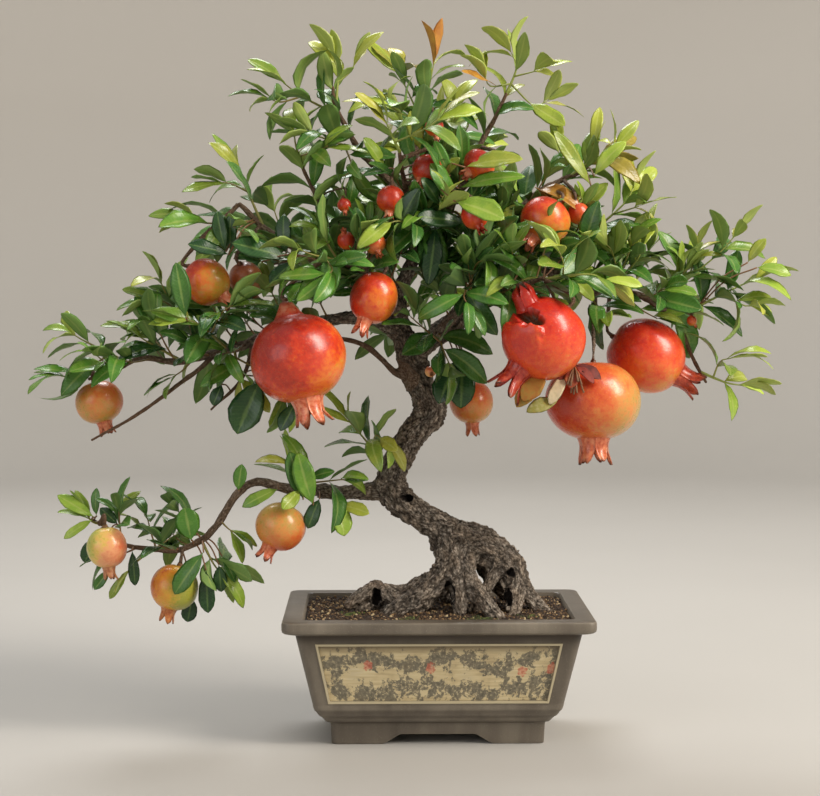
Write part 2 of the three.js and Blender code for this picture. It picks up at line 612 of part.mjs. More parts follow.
// One length of wood. Old wood is fluted along its grain.
function limb(points, step, flute, grow) {
  const curve = curveThrough(points);
  const thickness = points.reduce((sum, point) => sum + point[3], 0) / points.length;
  const steps = Math.max(3, Math.round(curve.getLength() / step));
  const radiusAt = (t, angle) => {
    const ridges = Math.sin(3 * angle + 5 * t) + 0.6 * Math.sin(5 * angle - 9 * t + 1);
    return radiusBetween(points, t) * (1 + flute * ridges);
  };
  return rod(curve, radiusAt, sidesFor(thickness), steps, grow);
}

const WOOD_LINES = [TRUNK, ...ROOTS, ...Object.values(BRANCHES)];
const WOOD_SAMPLES = WOOD_LINES.flatMap((points) => {
  const curve = curveThrough(points);
  return curve.getSpacedPoints(Math.ceil(curve.getLength() / 4));
});

function nearest(samples, point) {
  return samples.reduce((best, sample) =>
    sample.distanceToSquared(point) < best.distanceToSquared(point) ? sample : best,
  );
}

// The twig that a fruit hangs from, out of the nearest wood and into the top of the fruit.
function fruitTwig(fruit, grow) {
  const away = new THREE.Vector3(...fruit.crown).normalize().negate();
  const top = new THREE.Vector3(...fruit.at).addScaledVector(away, fruit.h + (fruit.neck ?? 0) + STALK_CLEARANCE);
  const above = top.clone().addScaledVector(away, 5).add(new THREE.Vector3(0, 0, 5));
  const start = nearest(WOOD_SAMPLES, above);
  const curve = new THREE.CatmullRomCurve3([start, above, top], false, "catmullrom", 0.5);
  return rod(curve, () => STALK_RADIUS, STALK_SIDES, STALK_STEPS, grow);
}

function makeWood(grow) {
  const parts = [limb(TRUNK, TRUNK_STEP, TRUNK_FLUTE, grow)];
  for (const root of ROOTS) parts.push(limb(root, ROOT_STEP, ROOT_FLUTE, grow));
  for (const branch of Object.values(BRANCHES)) parts.push(limb(branch, BRANCH_STEP, 0, grow));
  for (const fruit of Object.values(FRUITS)) parts.push(fruitTwig(fruit, grow));
  return join(parts);
}

// ---------------------------------------------------------------- fruits

// Turned about Z with the stalk up, then the rim of the crown is drawn out into pointed lobes.
function fruitGeometry({ r, h, neck = 0 }) {
  const big = r > BIG_FRUIT;
  const small = r < SMALL_FRUIT;
  const profile = [
    [0, h + neck],
    ...(neck ? [[0.08 * r, h + neck], [0.17 * r, h + 0.35 * neck]] : []),
    ...(small ? [[0.66 * r, 0.76 * h]] : [[0.36 * r, 0.93 * h], [0.8 * r, 0.6 * h]]),
    ...(big ? [[0.97 * r, 0.25 * h]] : []),
    [r, -0.08 * h],
    ...(small ? [] : [[0.84 * r, -0.56 * h]]),
    ...(big ? [[0.56 * r, -0.85 * h]] : []),
    [(small ? 0.5 : 0.34) * r, (small ? -0.85 : -1) * h],
    [0.27 * r, -1.12 * h],
    [0.33 * r, -1.5 * h], // rim of the crown
    [0, -1.12 * h],
  ];
  const rim = profile.length - 2;
  const lobes = big ? 6 : 5;
  const points = profile.map(([x, z]) => new THREE.Vector2(x, z)).reverse();
  const geometry = new THREE.LatheGeometry(points, 2 * lobes);
  geometry.rotateX(Math.PI / 2);
  const place = geometry.attributes.position;
  for (let i = 0; i < place.count; i++) {
    if (Math.abs(place.getZ(i) - profile[rim][1]) > 1e-3) continue;
    const step = Math.round((Math.atan2(place.getX(i), -place.getY(i)) * lobes) / Math.PI);
    const tip = step % 2 === 0;
    const spread = tip ? 1.15 : 0.9;
    place.setXYZ(i, place.getX(i) * spread, place.getY(i) * spread, -(tip ? 1.55 : 1.3) * h);
  }
  return geometry;
}

// ---------------------------------------------------------------- leafy shoots

// A leaf that grows along +X from the origin, upper face up: a flat top over a keeled rib, arched down.
function leafGeometry(length, width) {
  const geometry = new THREE.SphereGeometry(1, 3, LEAF_STATIONS.length - 1);
  const place = geometry.attributes.position;
  for (let i = 0; i < place.count; i++) {
    const station = Math.round((1 - Math.acos(place.getY(i)) / Math.PI) * (LEAF_STATIONS.length - 1));
    const along = LEAF_STATIONS[station];
    const share = LEAF_OUTLINE[station];
    const onRib = place.getX(i) < 0;
    const side = onRib ? 0 : Math.sign(place.getZ(i));
    const drop = LEAF_ARCH * length * along * along;
    const keel = onRib ? LEAF_KEEL * (0.4 + 0.6 * share) : 0;
    place.setXYZ(i, length * along, (side * share * width) / 2, share ? -drop - keel : -drop);
  }
  return geometry;
}

// A point on the straight lengths that a stem is made of, and the direction there.
function stemPlace(curve, place) {
  const step = Math.min(STEM_STEPS - 1, Math.floor(place * STEM_STEPS));
  const from = curve.getPointAt(step / STEM_STEPS);
  const to = curve.getPointAt((step + 1) / STEM_STEPS);
  const tangent = to.clone().sub(from).normalize();
  return { point: from.lerp(to, place * STEM_STEPS - step), tangent };
}

// A direction square to the stem as a whole, turned about it by chance.
function stemSpin(curve, seed) {
  const chord = curve.getPointAt(1).sub(curve.getPointAt(0)).normalize();
  const helper = Math.abs(chord.z) > 0.9 ? new THREE.Vector3(1, 0, 0) : new THREE.Vector3(0, 0, 1);
  const spin = new THREE.Vector3().crossVectors(chord, helper).normalize();
  return spin.applyAxisAngle(chord, (chance(seed, SPIN_DRAW) * Math.PI) / 2);
}

function squareTo(spin, tangent) {
  return spin.clone().addScaledVector(tangent, -spin.dot(tangent)).normalize();
}

// Where a leaf stands: its foot, the way it points, its upper side, and its size.
function leafStand({ point, tangent }, spin, open, turn, seed, index, share) {
  const side = squareTo(spin, tangent).applyAxisAngle(tangent, turn);
  const tilt = open + OPEN_SPREAD * (chance(seed, index) - 0.5);
  const along = tangent.clone().multiplyScalar(Math.cos(tilt)).addScaledVector(side, Math.sin(tilt));
  const heading = 2 * Math.PI * chance(seed, index + FACING_DRAW);
  const face = new THREE.Vector3(Math.cos(heading), Math.sin(heading), FACE_UP);
  face.addScaledVector(tangent, FACE_FORWARD);
  const length = LEAF_LENGTH * share * (1 + LEAF_SPREAD * (2 * chance(seed, index + LENGTH_DRAW) - 1));
  return { foot: point, along: along.normalize(), face, length };
}

// The leaves of one stem, from the leaf at its tip back to the bare foot of the stem.
function leavesOn(curve, seed) {
  const length = curve.getLength();
  const spin = stemSpin(curve, seed);
  const stands = [leafStand(stemPlace(curve, 1 - 1 / length), spin, END_OPEN, 0, seed, 0, END_SHARE)];
  const room = length - BARE_BASE - TIP_PAIR;
  const pairs = Math.max(1, Math.floor(room / PAIR_SPACING + ROUND_UP));
  for (let pair = 0; pair < pairs; pair++) {
    const back = TIP_PAIR + pair * PAIR_SPACING;
    const place = Math.max(LOWEST_PLACE, 1 - back / length);
    const open = PAIR_OPEN + (OLD_PAIR_OPEN - PAIR_OPEN) * Math.min(1, pair / 2);
    for (const half of [0, 1]) {
      const turn = Math.PI / 4 + (pair % 2) * (Math.PI / 2) + half * Math.PI;
      const index = 2 * pair + half + 1;
      stands.push(leafStand(stemPlace(curve, place), spin, open, turn, seed, index, pair ? 1 : YOUNG_SHARE));
    }
  }
  return stands;
}

function placedLeaf(stand, [pitch, roll], as) {
  const along = stand.along.clone();
  const side = new THREE.Vector3().crossVectors(stand.face, along).normalize();
  const face = new THREE.Vector3().crossVectors(along, side).normalize();
  const degrees = Math.PI / 180;
  along.applyAxisAngle(side, -pitch * degrees);
  face.applyAxisAngle(side, -pitch * degrees);
  side.applyAxisAngle(along, roll * degrees);
  face.applyAxisAngle(along, roll * degrees);
  const geometry = leafGeometry(stand.length * as.length, stand.length * LEAF_WIDTH * as.width);
  geometry.translate(as.start, 0, 0);
  geometry.applyMatrix4(new THREE.Matrix4().makeBasis(along, side, face).setPosition(stand.foot));
  return solid(geometry);
}

// A stem stops short of its tip by the reach of its end leaf.
function stemFrom(root, [, middle, tip]) {
  const bend = new THREE.Vector3(...middle);
  const last = new THREE.Vector3(...tip).sub(bend);
  last.setLength(Math.max(0.5 * last.length(), last.length() - END_LEAF_REACH));
  return new THREE.CatmullRomCurve3([root, bend, last.add(bend)], false, "catmullrom", 0.5);
}

// The first stem of a shoot grows from the nearest wood, and the others fork from the first.
function stemCurves(stems) {
  const [first, ...forks] = stems;
  const main = stemFrom(nearest(WOOD_SAMPLES, new THREE.Vector3(...first[0])), first);
  const joints = FORK_PLACES.map((place) => stemPlace(main, place).point);
  return [main, ...forks.map((stem) => stemFrom(nearest(joints, new THREE.Vector3(...stem[0])), stem))];
}

function makeStem(curve, seed, isFork, grow) {
  const base = isFork ? FORK_BASE_RADIUS : STEM_BASE_RADIUS;
  const radiusAt = (t) => base + (STEM_TIP_RADIUS - base) * t;
  const spin = stemSpin(curve, seed);
  const tangents = Array.from({ length: STEM_STEPS + 1 }, (_, ring) => curve.getTangentAt(ring / STEM_STEPS));
  const normals = tangents.map((tangent) => squareTo(spin, tangent));
  const binormals = tangents.map((tangent, ring) => tangent.clone().cross(normals[ring]));
  return rod(curve, radiusAt, STEM_SIDES, STEM_STEPS, grow, { tangents, normals, binormals });
}

function stemSeed(shoot, stem) {
  return 10 * shoot + stem;
}

function makeShoots(wood, fruits) {
  const shoots = Object.entries(SHOOTS).map(([name, stems], order) => {
    const curves = stemCurves(stems);
    const stem = (curve, index, grow) => makeStem(curve, stemSeed(order, index), index > 0, grow);
    const grown = (grow) => join(curves.map((curve, index) => stem(curve, index, grow)));
    return { name, curves, order, stems: grown(0), wide: grown(GAP) };
  });
  const standing = [obstacle(wood), ...fruits.map(obstacle)];
  for (const shoot of shoots) {
    for (const other of standing) shoot.stems = shoot.stems.subtract(other.shape);
    shoot.stems = largest(shoot.stems);
    standing.push(obstacle(shoot.wide));
  }
  return shoots.map((shoot, order) => {
    const others = standing.filter((other) => other.shape !== shoot.wide);
    const leaves = [];
    shoot.curves.forEach((curve, stemIndex) => {
      for (const stand of leavesOn(curve, stemSeed(shoot.order, stemIndex))) {
        const clears = (turns) =>
          !collides(placedLeaf(stand, turns, TRIED), others) &&
          !collides(placedLeaf(stand, turns, TRIED_OUTER), leaves);
        const fits = LEAF_TRIES.find(clears);
        if (fits) leaves.push(obstacle(placedLeaf(stand, fits, MADE)));
      }
    });
    const shape = largest(join([shoot.stems, ...leaves.map((leaf) => leaf.shape)]));
    standing[1 + fruits.length + order] = obstacle(shape);
    return { name: `leaves_${shoot.name}`, shape };
  });
}

// ---------------------------------------------------------------- assembly

const clay = finish(0x6f675a, 0.55);
const grit = finish(0x5a4331, 0.95);
const plastic = finish(0x2b2b2b, 0.7);
const bark = finish(0x5f554c, 0.9);
const leaf = finish(0x46702b, 0.4);

const pot = new THREE.Group();
pot.add(meshOf("pot", geometryOf(makePot()), clay));
for (const [name, side] of [["drain_screen_left", -1], ["drain_screen_right", 1]]) {
  const screen = meshOf(name, geometryOf(makeScreen()), plastic.clone());
  screen.position.set(side * DRAIN_X, 0, POT_INSIDE[0][0] + GAP + SCREEN_THICKNESS / 2);
  pot.add(screen);
}

const tree = new THREE.Group();
const wideWood = makeWood(GAP);
pot.add(meshOf("soil", geometryOf(makeSoil(wideWood)), grit));
tree.add(meshOf("trunk", geometryOf(makeWood(0)), bark));

const fruitSolids = [];
const down = new THREE.Vector3(0, 0, -1);
for (const [name, fruit] of Object.entries(FRUITS)) {
  const geometry = fruitGeometry(fruit);
  const mesh = meshOf(name, geometry, finish(FRUIT_COLOURS[fruit.tint], 0.3));
  mesh.position.set(...fruit.at);
  mesh.quaternion.setFromUnitVectors(down, new THREE.Vector3(...fruit.crown).normalize());
  mesh.updateMatrix();
  tree.add(mesh);
  fruitSolids.push(solid(geometry.clone().scale(...CLEAR_FRUIT).applyMatrix4(mesh.matrix)));
}

for (const { name, shape } of makeShoots(wideWood, fruitSolids)) {
  tree.add(meshOf(name, geometryOf(shape), leaf.clone()));
}

const bonsai = new THREE.Group();
bonsai.add(pot, tree);
bonsai.position.set(-MIDDLE_X, -MIDDLE_Y, 0);

export default bonsai;
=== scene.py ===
import bpy
import math
import numpy as np
from functools import partial
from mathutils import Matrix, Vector, noise
from mathutils.kdtree import KDTree


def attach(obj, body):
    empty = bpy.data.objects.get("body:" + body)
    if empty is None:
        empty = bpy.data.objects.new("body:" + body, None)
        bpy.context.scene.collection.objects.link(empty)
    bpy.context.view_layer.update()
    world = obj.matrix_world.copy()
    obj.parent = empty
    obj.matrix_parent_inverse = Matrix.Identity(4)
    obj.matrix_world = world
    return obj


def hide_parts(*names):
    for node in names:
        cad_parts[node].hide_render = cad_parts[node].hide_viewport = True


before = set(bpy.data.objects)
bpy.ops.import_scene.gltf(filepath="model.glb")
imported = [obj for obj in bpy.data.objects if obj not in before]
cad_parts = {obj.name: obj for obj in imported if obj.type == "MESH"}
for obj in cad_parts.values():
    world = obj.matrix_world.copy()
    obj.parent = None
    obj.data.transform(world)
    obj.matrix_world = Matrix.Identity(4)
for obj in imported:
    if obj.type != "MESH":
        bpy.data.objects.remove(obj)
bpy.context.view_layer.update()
scene = bpy.context.scene

MM = 0.001
TREE_SHIFT = np.array([20.7, -12.5, 0.0])  # from the middle of the pot's base to the frame

CAMERA_AT = (-37.3, -1902.5, 446.0)

# ---------------------------------------------------------------- the tree's lines, as in the model

# Wood: centre lines as [x, y, z, radius].
TRUNK = [
    [82, 1, 148, 11], [77, 1, 161, 15], [60, 0, 177, 18.5], [36, -2, 190, 21], [13, -4, 200, 20], [-12, -8, 216, 18],
    [-36, -10, 233, 18.5], [-45, -8, 253, 17.5], [-41, -4, 270, 15.5], [-30, 2, 291, 16], [-15, 6, 309, 17],
    [-7, 6, 324, 17.5], [-13, 4, 341, 16.5], [-22, 2, 361, 17], [-30, 0, 388, 12],
]
ROOTS = [
    [
        [10, -6, 196, 18], [10, -16, 172, 16], [-2, -24, 152, 14], [-22, -30, 136, 15], [-44, -34, 124, 12],
        [-60, -38, 108, 5],
    ],
    [[16, -10, 186, 15], [20, -26, 160, 12], [22, -40, 136, 9], [22, -48, 108, 6]],
    [[22, -8, 186, 15], [30, -28, 160, 11.5], [44, -44, 140, 10.5], [58, -56, 122, 10], [64, -60, 106, 6]],
    [[60, -4, 172, 12], [52, -14, 152, 8.5], [40, -22, 132, 8], [32, -26, 108, 6]],
    [[68, -2, 174, 15], [78, -12, 156, 13.5], [76, -24, 138, 11], [72, -36, 118, 9], [70, -42, 104, 6]],
    [[76, 0, 166, 15], [86, -4, 146, 12], [98, -8, 130, 9], [113, -12, 117, 6], [122, -14, 106, 4]],
    [[-6, -12, 156, 11], [-30, -12, 141, 12], [-52, -8, 137, 14], [-60, -6, 144, 10], [-61, -8, 152, 6]],
    [[-50, -8, 137, 13], [-70, -12, 128, 11], [-84, -16, 115, 8], [-92, -20, 105, 4]],
    [[14, 4, 188, 15], [8, 26, 160, 11], [-4, 40, 134, 9], [-14, 52, 108, 6]],
    [[48, 6, 176, 15], [58, 26, 152, 11.5], [72, 40, 130, 9], [84, 50, 108, 6]],
]
BRANCHES = {
    "left": [
        [-28, 1, 372, 14], [-34, 0, 397, 12], [-50, -4, 408, 9.5], [-66, -8, 413, 8.5], [-95, -12, 413, 7.5],
        [-135, -15, 406, 6.5], [-180, -16, 392, 5.5], [-219, -18, 378, 4.5], [-259, -20, 372, 3.6],
        [-288, -20, 374, 3], [-315, -20, 364, 2.4], [-340, -22, 354, 1.6],
    ],
    "left_bare_twig": [[-219, -18, 378, 3], [-243, -22, 356, 2.4], [-296, -26, 318, 1.8], [-337, -28, 295, 1.2]],
    "left_short_twig": [[-180, -16, 392, 3], [-189, -20, 358, 2], [-221, -24, 324, 1.2]],
    "left_thin": [[-22, 0, 352, 5], [-42, -10, 362, 3.4], [-74, -16, 388, 2.8], [-104, -24, 396, 2]],
    "cascade": [
        [-40, -8, 252, 13], [-60, -9, 243, 10.5], [-91, -10, 241, 8.5], [-118, -12, 242, 7], [-160, -14, 250, 5],
        [-180, -15, 251, 4.6], [-195, -15, 242, 4.3], [-222, -16, 204, 3.9], [-234, -16, 193, 3.5],
        [-259, -18, 186, 3.1], [-304, -14, 189, 2.4], [-323, -14, 206, 2], [-340, -16, 216, 1.4],
    ],
    "upper_left": [
        [-38, -2, 400, 10], [-57, -5, 411, 8], [-76, -8, 441, 6.5], [-105, -10, 466, 5.5], [-145, -12, 486, 4.5],
        [-173, -14, 505, 3.6], [-194, -16, 525, 2.4],
    ],
    "left_tower": [[-100, -9, 462, 4.6], [-106, -6, 501, 3.2], [-121, -9, 537, 2.4], [-132, -11, 562, 1.6]],
    "leader": [
        [-30, 0, 380, 13], [-36, 0, 411, 11], [-36, 0, 441, 9.5], [-21, -2, 481, 8], [-16, -2, 530, 6],
        [-21, -1, 580, 4], [-22, -2, 612, 2.4],
    ],
    "top_left": [[-18, -2, 512, 5], [-43, 0, 543, 4], [-80, 0, 584, 3], [-99, 0, 622, 2.2], [-102, 0, 640, 1.6]],
    "top_right": [[-22, -1, 470, 6], [3, 0, 500, 4.8], [33, 0, 560, 3.6], [51, 0, 599, 2.8], [69, 0, 634, 1.8]],
    "right": [
        [-24, 2, 364, 13], [-12, 0, 385, 11], [15, -4, 403, 10], [33, -5, 431, 8.5], [63, -6, 461, 7],
        [102, -6, 466, 6], [145, -6, 442, 5], [191, -6, 437, 3.8], [214, -7, 428, 3.2], [236, -8, 410, 2.6],
        [257, -8, 366, 2], [266, -9, 350, 1.4],
    ],
    "right_tip": [[206, -7, 432, 3], [228, -8, 426, 2.5], [252, -8, 417, 1.8]],
    "right_shoulder": [[96, -6, 466, 4], [122, -6, 484, 3.2], [152, -6, 496, 2]],
    "upper_right": [[33, -5, 431, 7], [63, -4, 490, 5.4], [92, -2, 530, 4.2], [122, 0, 548, 3.2], [147, -2, 560, 2]],
    "back_left": [
        [-38, 2, 430, 7], [-70, 40, 452, 5], [-112, 78, 470, 4], [-160, 112, 470, 3], [-200, 128, 458, 1.8],
    ],
    "back_right": [[-8, 2, 390, 8], [30, 40, 430, 5.4], [70, 84, 458, 4.2], [112, 116, 472, 3], [150, 132, 468, 1.8]],
    "back_top": [[-21, -2, 484, 6], [-14, 36, 530, 4.2], [-2, 70, 566, 3], [10, 92, 592, 1.8]],
    "back_low": [[-28, 2, 372, 7], [-40, 50, 396, 4.2], [-40, 98, 420, 3], [-26, 136, 424, 1.8]],
    "front_left": [[-37, -2, 420, 7], [-56, -36, 446, 5], [-83, -62, 466, 4], [-112, -86, 468, 2.4]],
    "front_right": [[-4, -2, 392, 7], [24, -36, 424, 5], [60, -64, 440, 4], [98, -84, 452, 2.4]],
    "front_top": [[-19, -2, 500, 5], [-31, -34, 534, 3.4], [-37, -62, 572, 1.8]],
}

# Fruits: centre, equatorial radius, half height, the way the crown points, colour, and any neck at the stalk.
FRUITS = {
    "fruit_cascade_tip": ([-321, -44, 192], 19.5, 20, [0.1, -0.1, -1], "pale"),
    "fruit_cascade_low": ([-258, -26, 150], 23.5, 22.5, [-0.25, -0.1, -1], "yellow"),
    "fruit_cascade_near": ([-153, -36, 211], 24.7, 23, [-0.5, -0.2, -0.9], "orange"),
    "fruit_left_tip": ([-332, -10, 331], 23.5, 21, [0.25, -0.1, -0.95], "orange"),
    "fruit_left_big": ([-133, -95, 377], 45.6, 41, [0.22, -0.15, -0.96], "red", 14),
    "fruit_centre_left": ([-62, -85, 434], 22.6, 24.5, [-0.35, -0.3, -0.85], "red"),
    "fruit_left_upper": ([-223, -46, 449], 22, 23, [0.75, -0.2, -0.65], "red"),
    "fruit_left_behind": ([-187, -16, 452], 16.5, 17, [0.3, 0.4, -0.8], "dull"),
    "fruit_top_left": ([-11, -60, 556], 14.4, 14, [-0.4, -0.45, -0.8], "red"),
    "fruit_top": ([-4, -50, 597], 9, 9, [0.2, -0.2, -0.9], "red"),
    "fruit_top_low": ([-46, -70, 527], 13.3, 13, [-0.1, -0.3, -0.9], "red"),
    "fruit_top_right": ([39, -50, 560], 17, 13, [-0.8, -0.3, -0.5], "red"),
    "fruit_open": ([33, -84, 511], 12.5, 13, [0.35, -0.5, -0.8], "deep"),
    "fruit_small_left": ([-88, -75, 488], 8.5, 8.5, [-0.2, -0.5, 0.8], "red"),
    "fruit_small_front": ([-61, -90, 485], 10.4, 10, [0.3, -0.5, -0.8], "orange"),
    "fruit_right_upper": ([102, -60, 507], 24.3, 22, [-0.6, -0.3, -0.75], "red"),
    "fruit_right_small": ([136, -38, 515], 10.6, 10.5, [0.3, 0.1, -0.95], "orange"),
    "fruit_split": ([97, -105, 396], 39.2, 38, [-0.62, -0.15, -0.77], "deep"),
    "fruit_right_red": ([207, -5, 376], 36.4, 39, [0.85, -0.1, -0.5], "deep"),
    "fruit_right_low": ([149, -60, 335], 46, 38, [0, -0.12, -1], "orange"),
    "fruit_behind_trunk": ([37, 55, 327], 22.4, 22, [0.05, 0, -1], "orange"),
}
# Fruits and buds too small for the model.
SMALL_FRUITS = {
    "small_high": ([-90, -60, 522], 6.7, 6.5, [0.1, -0.4, -0.9], "red"),
    "bud_right": ([251, -10, 411], 5, 5.5, [0.5, -0.2, -0.7], "orange"),
    "bud_trunk": ([-7, -34, 362], 5.5, 5.5, [0.1, -0.8, -0.3], "pale"),
}
FRUITS, SMALL_FRUITS = (
    {name: dict(zip(("at", "r", "h", "crown", "tint", "neck"), row)) for name, row in rows.items()}
    for rows in (FRUITS, SMALL_FRUITS)
)

# Leafy shoots: each stem is start, middle and tip, and its start is drawn onto the nearest wood.
SHOOTS = {
    "top_centre": [
        [[-20, 0, 579], [-9, -8, 634], [3, -5, 692]], [[-17, -4, 607], [-32, 10, 644], [-48, 15, 672]],
        [[-15, -4, 593], [-38, -30, 613], [-60, -36, 632]],
    ],
    "top_front": [
        [[-36, -62, 572], [-46, -74, 590], [-56, -80, 612]], [[-40, -68, 579], [-14, -86, 592], [14, -92, 612]],
    ],
    "top_left": [
        [[-101, 0, 621], [-97, 0, 652], [-103, -2, 680]], [[-98, 0, 641], [-85, 4, 655], [-76, 6, 672]],
    ],
    "top_left_side": [
        [[-97, 0, 610], [-132, -8, 630], [-168, -8, 656]], [[-130, -8, 628], [-152, -12, 624], [-176, -14, 631]],
    ],
    "upper_left": [
        [[-75, 0, 578], [-112, -20, 589], [-139, -26, 600]], [[-64, -2, 569], [-83, -34, 559], [-100, -44, 541]],
    ],
    "top_right": [
        [[66, 0, 628], [78, 0, 658], [69, 0, 688]], [[76, 0, 650], [92, -4, 654], [106, -6, 658]],
        [[68, 0, 634], [94, -6, 622], [122, -8, 630]], [[68, 0, 634], [52, -10, 640], [41, -12, 660]],
    ],
    "left_tower": [
        [[-132, -11, 562], [-138, -13, 582], [-141, -12, 606]],
        [[-134, -12, 568], [-116, -28, 576], [-96, -38, 584]],
    ],
    "left_shoulder": [
        [[-170, -14, 502], [-186, -14, 539], [-204, -16, 574]],
        [[-183, -14, 539], [-200, -18, 544], [-218, -20, 547]],
    ],
    "left_point": [
        [[-178, -15, 508], [-222, -20, 506], [-260, -22, 515]],
        [[-205, -18, 508], [-204, -48, 503], [-184, -66, 498]],
    ],
    "left_upper": [
        [[-225, -16, 378], [-262, -14, 432], [-279, -20, 468]],
        [[-258, -14, 425], [-272, -20, 432], [-286, -26, 430]],
    ],
    "left_tip": [
        [[-300, -20, 370], [-343, -22, 391], [-369, -25, 407]],
        [[-312, -20, 366], [-352, -25, 358], [-381, -28, 357]],
    ],
    "left_dense": [
        [[-250, -20, 374], [-277, -30, 388], [-303, -35, 405]], [[-262, -24, 380], [-284, -2, 398], [-300, 14, 402]],
    ],
    "left_middle": [
        [[-205, -18, 382], [-228, -60, 408], [-255, -68, 418]],
        [[-222, -48, 400], [-205, -82, 420], [-184, -92, 434]], [[-216, -30, 390], [-222, 10, 406], [-232, 42, 416]],
    ],
    "left_hanging": [
        [[-200, -17, 384], [-194, -36, 366], [-186, -44, 338]],
        [[-172, -16, 393], [-152, -20, 350], [-146, -24, 326]],
    ],
    "front_left": [
        [[-90, -66, 467], [-118, -98, 474], [-144, -112, 484]],
        [[-108, -90, 470], [-100, -122, 460], [-116, -134, 448]],
    ],
    "trunk_left": [
        [[-44, -8, 262], [-74, -16, 298], [-101, -18, 329]], [[-66, -14, 287], [-60, -34, 300], [-48, -50, 290]],
    ],
    "cascade_near": [
        [[-123, -12, 247], [-139, -18, 262], [-146, -20, 280]], [[-112, -16, 243], [-98, -32, 256], [-84, -44, 258]],
    ],
    "cascade_mid": [
        [[-232, -16, 194], [-220, -26, 174], [-204, -24, 152]], [[-222, -24, 178], [-214, 0, 170], [-206, 24, 158]],
    ],
    "cascade_tip": [
        [[-336, -16, 206], [-339, -18, 214], [-348, -20, 226]], [[-334, -16, 208], [-322, -6, 216], [-308, 2, 226]],
    ],
    "cascade_low": [
        [[-282, -16, 187], [-296, -22, 174], [-312, -28, 154]], [[-268, -16, 186], [-262, 8, 196], [-260, 30, 194]],
    ],
    "centre_front": [
        [[26, -40, 430], [34, -86, 464], [58, -112, 476]], [[30, -75, 448], [22, -112, 436], [30, -128, 418]],
    ],
    "centre_low": [
        [[2, -12, 396], [4, -50, 386], [19, -60, 350]], [[0, -38, 390], [-18, -70, 408], [-36, -88, 424]],
    ],
    "centre_high": [
        [[-21, -4, 490], [-9, -60, 508], [14, -88, 532]], [[-14, -44, 500], [-38, -84, 506], [-60, -98, 500]],
    ],
    "right_crown": [
        [[132, 0, 552], [150, -5, 568], [157, -6, 592]], [[122, 0, 549], [122, 2, 573], [117, 4, 590]],
        [[144, -2, 560], [166, -12, 572], [180, -14, 584]],
    ],
    "right_shoulder": [
        [[149, -5, 494], [183, -10, 525], [202, -10, 556]], [[172, -9, 514], [188, -22, 520], [204, -30, 525]],
    ],
    "right_upper": [
        [[166, -12, 440], [194, -18, 468], [208, -20, 505]], [[181, -15, 455], [168, -44, 478], [152, -58, 494]],
        [[172, -10, 446], [186, 20, 460], [196, 48, 474]],
    ],
    "right_tip_high": [
        [[236, -8, 424], [250, -8, 459], [263, -10, 502]], [[248, -8, 450], [278, -12, 478], [308, -14, 512]],
    ],
    "right_tip": [
        [[246, -8, 419], [293, -12, 443], [341, -10, 462]], [[280, -12, 436], [300, -24, 426], [318, -28, 427]],
        [[264, -10, 428], [256, 22, 438], [236, 50, 448]],
    ],
    "right_low": [
        [[260, -8, 360], [285, -12, 350], [319, -12, 344]], [[258, -9, 364], [277, -24, 371], [298, -30, 378]],
    ],
    "right_front": [
        [[98, -80, 450], [140, -92, 456], [176, -94, 442]], [[112, -84, 453], [114, -112, 468], [106, -118, 486]],
    ],
    "back_left": [
        [[-140, 98, 471], [-160, 128, 506], [-176, 138, 548]],
        [[-166, 124, 500], [-206, 142, 496], [-246, 138, 490]],
        [[-160, 120, 490], [-142, 140, 500], [-124, 156, 494]], [[-146, 108, 484], [-96, 88, 506], [-44, 64, 520]],
        [[-150, 112, 488], [-112, 104, 516], [-72, 96, 548]],
    ],
    "back_right": [
        [[112, 116, 472], [134, 134, 500], [160, 140, 536]], [[130, 130, 494], [176, 132, 490], [216, 118, 492]],
        [[130, 130, 494], [112, 144, 504], [94, 158, 498]], [[118, 121, 482], [74, 92, 502], [28, 62, 520]],
        [[122, 124, 486], [92, 106, 520], [62, 92, 556]],
    ],
    "back_middle": [
        [[-2, 70, 566], [10, 104, 596], [14, 120, 634]], [[6, 96, 588], [-22, 122, 584], [-46, 130, 592]],
        [[8, 100, 592], [44, 118, 588], [66, 118, 596]], [[2, 84, 578], [16, 60, 604], [30, 44, 640]],
        [[2, 84, 578], [-22, 62, 596], [-48, 44, 620]],
    ],
    "back_low": [
        [[-40, 98, 420], [-8, 128, 436], [24, 150, 438]], [[-20, 118, 430], [-52, 142, 444], [-78, 154, 446]],
    ],
}


# ---------------------------------------------------------------- making things


def linear(hex_colour):
    """An sRGB colour such as "a1b2c3" as linear red, green, blue and alpha."""
    parts = [int(hex_colour[i : i + 2], 16) / 255 for i in (0, 2, 4)]
    return [c / 12.92 if c <= 0.04045 else ((c + 0.055) / 1.055) ** 2.4 for c in parts] + [1.0]


def feed(socket, value):
    """Links an input to another node's output, or sets it to a plain value or a hex colour."""
    if isinstance(value, bpy.types.NodeSocket):
        socket.id_data.links.new(value, socket)
    else:
        socket.default_value = linear(value) if socket.type == "RGBA" else value


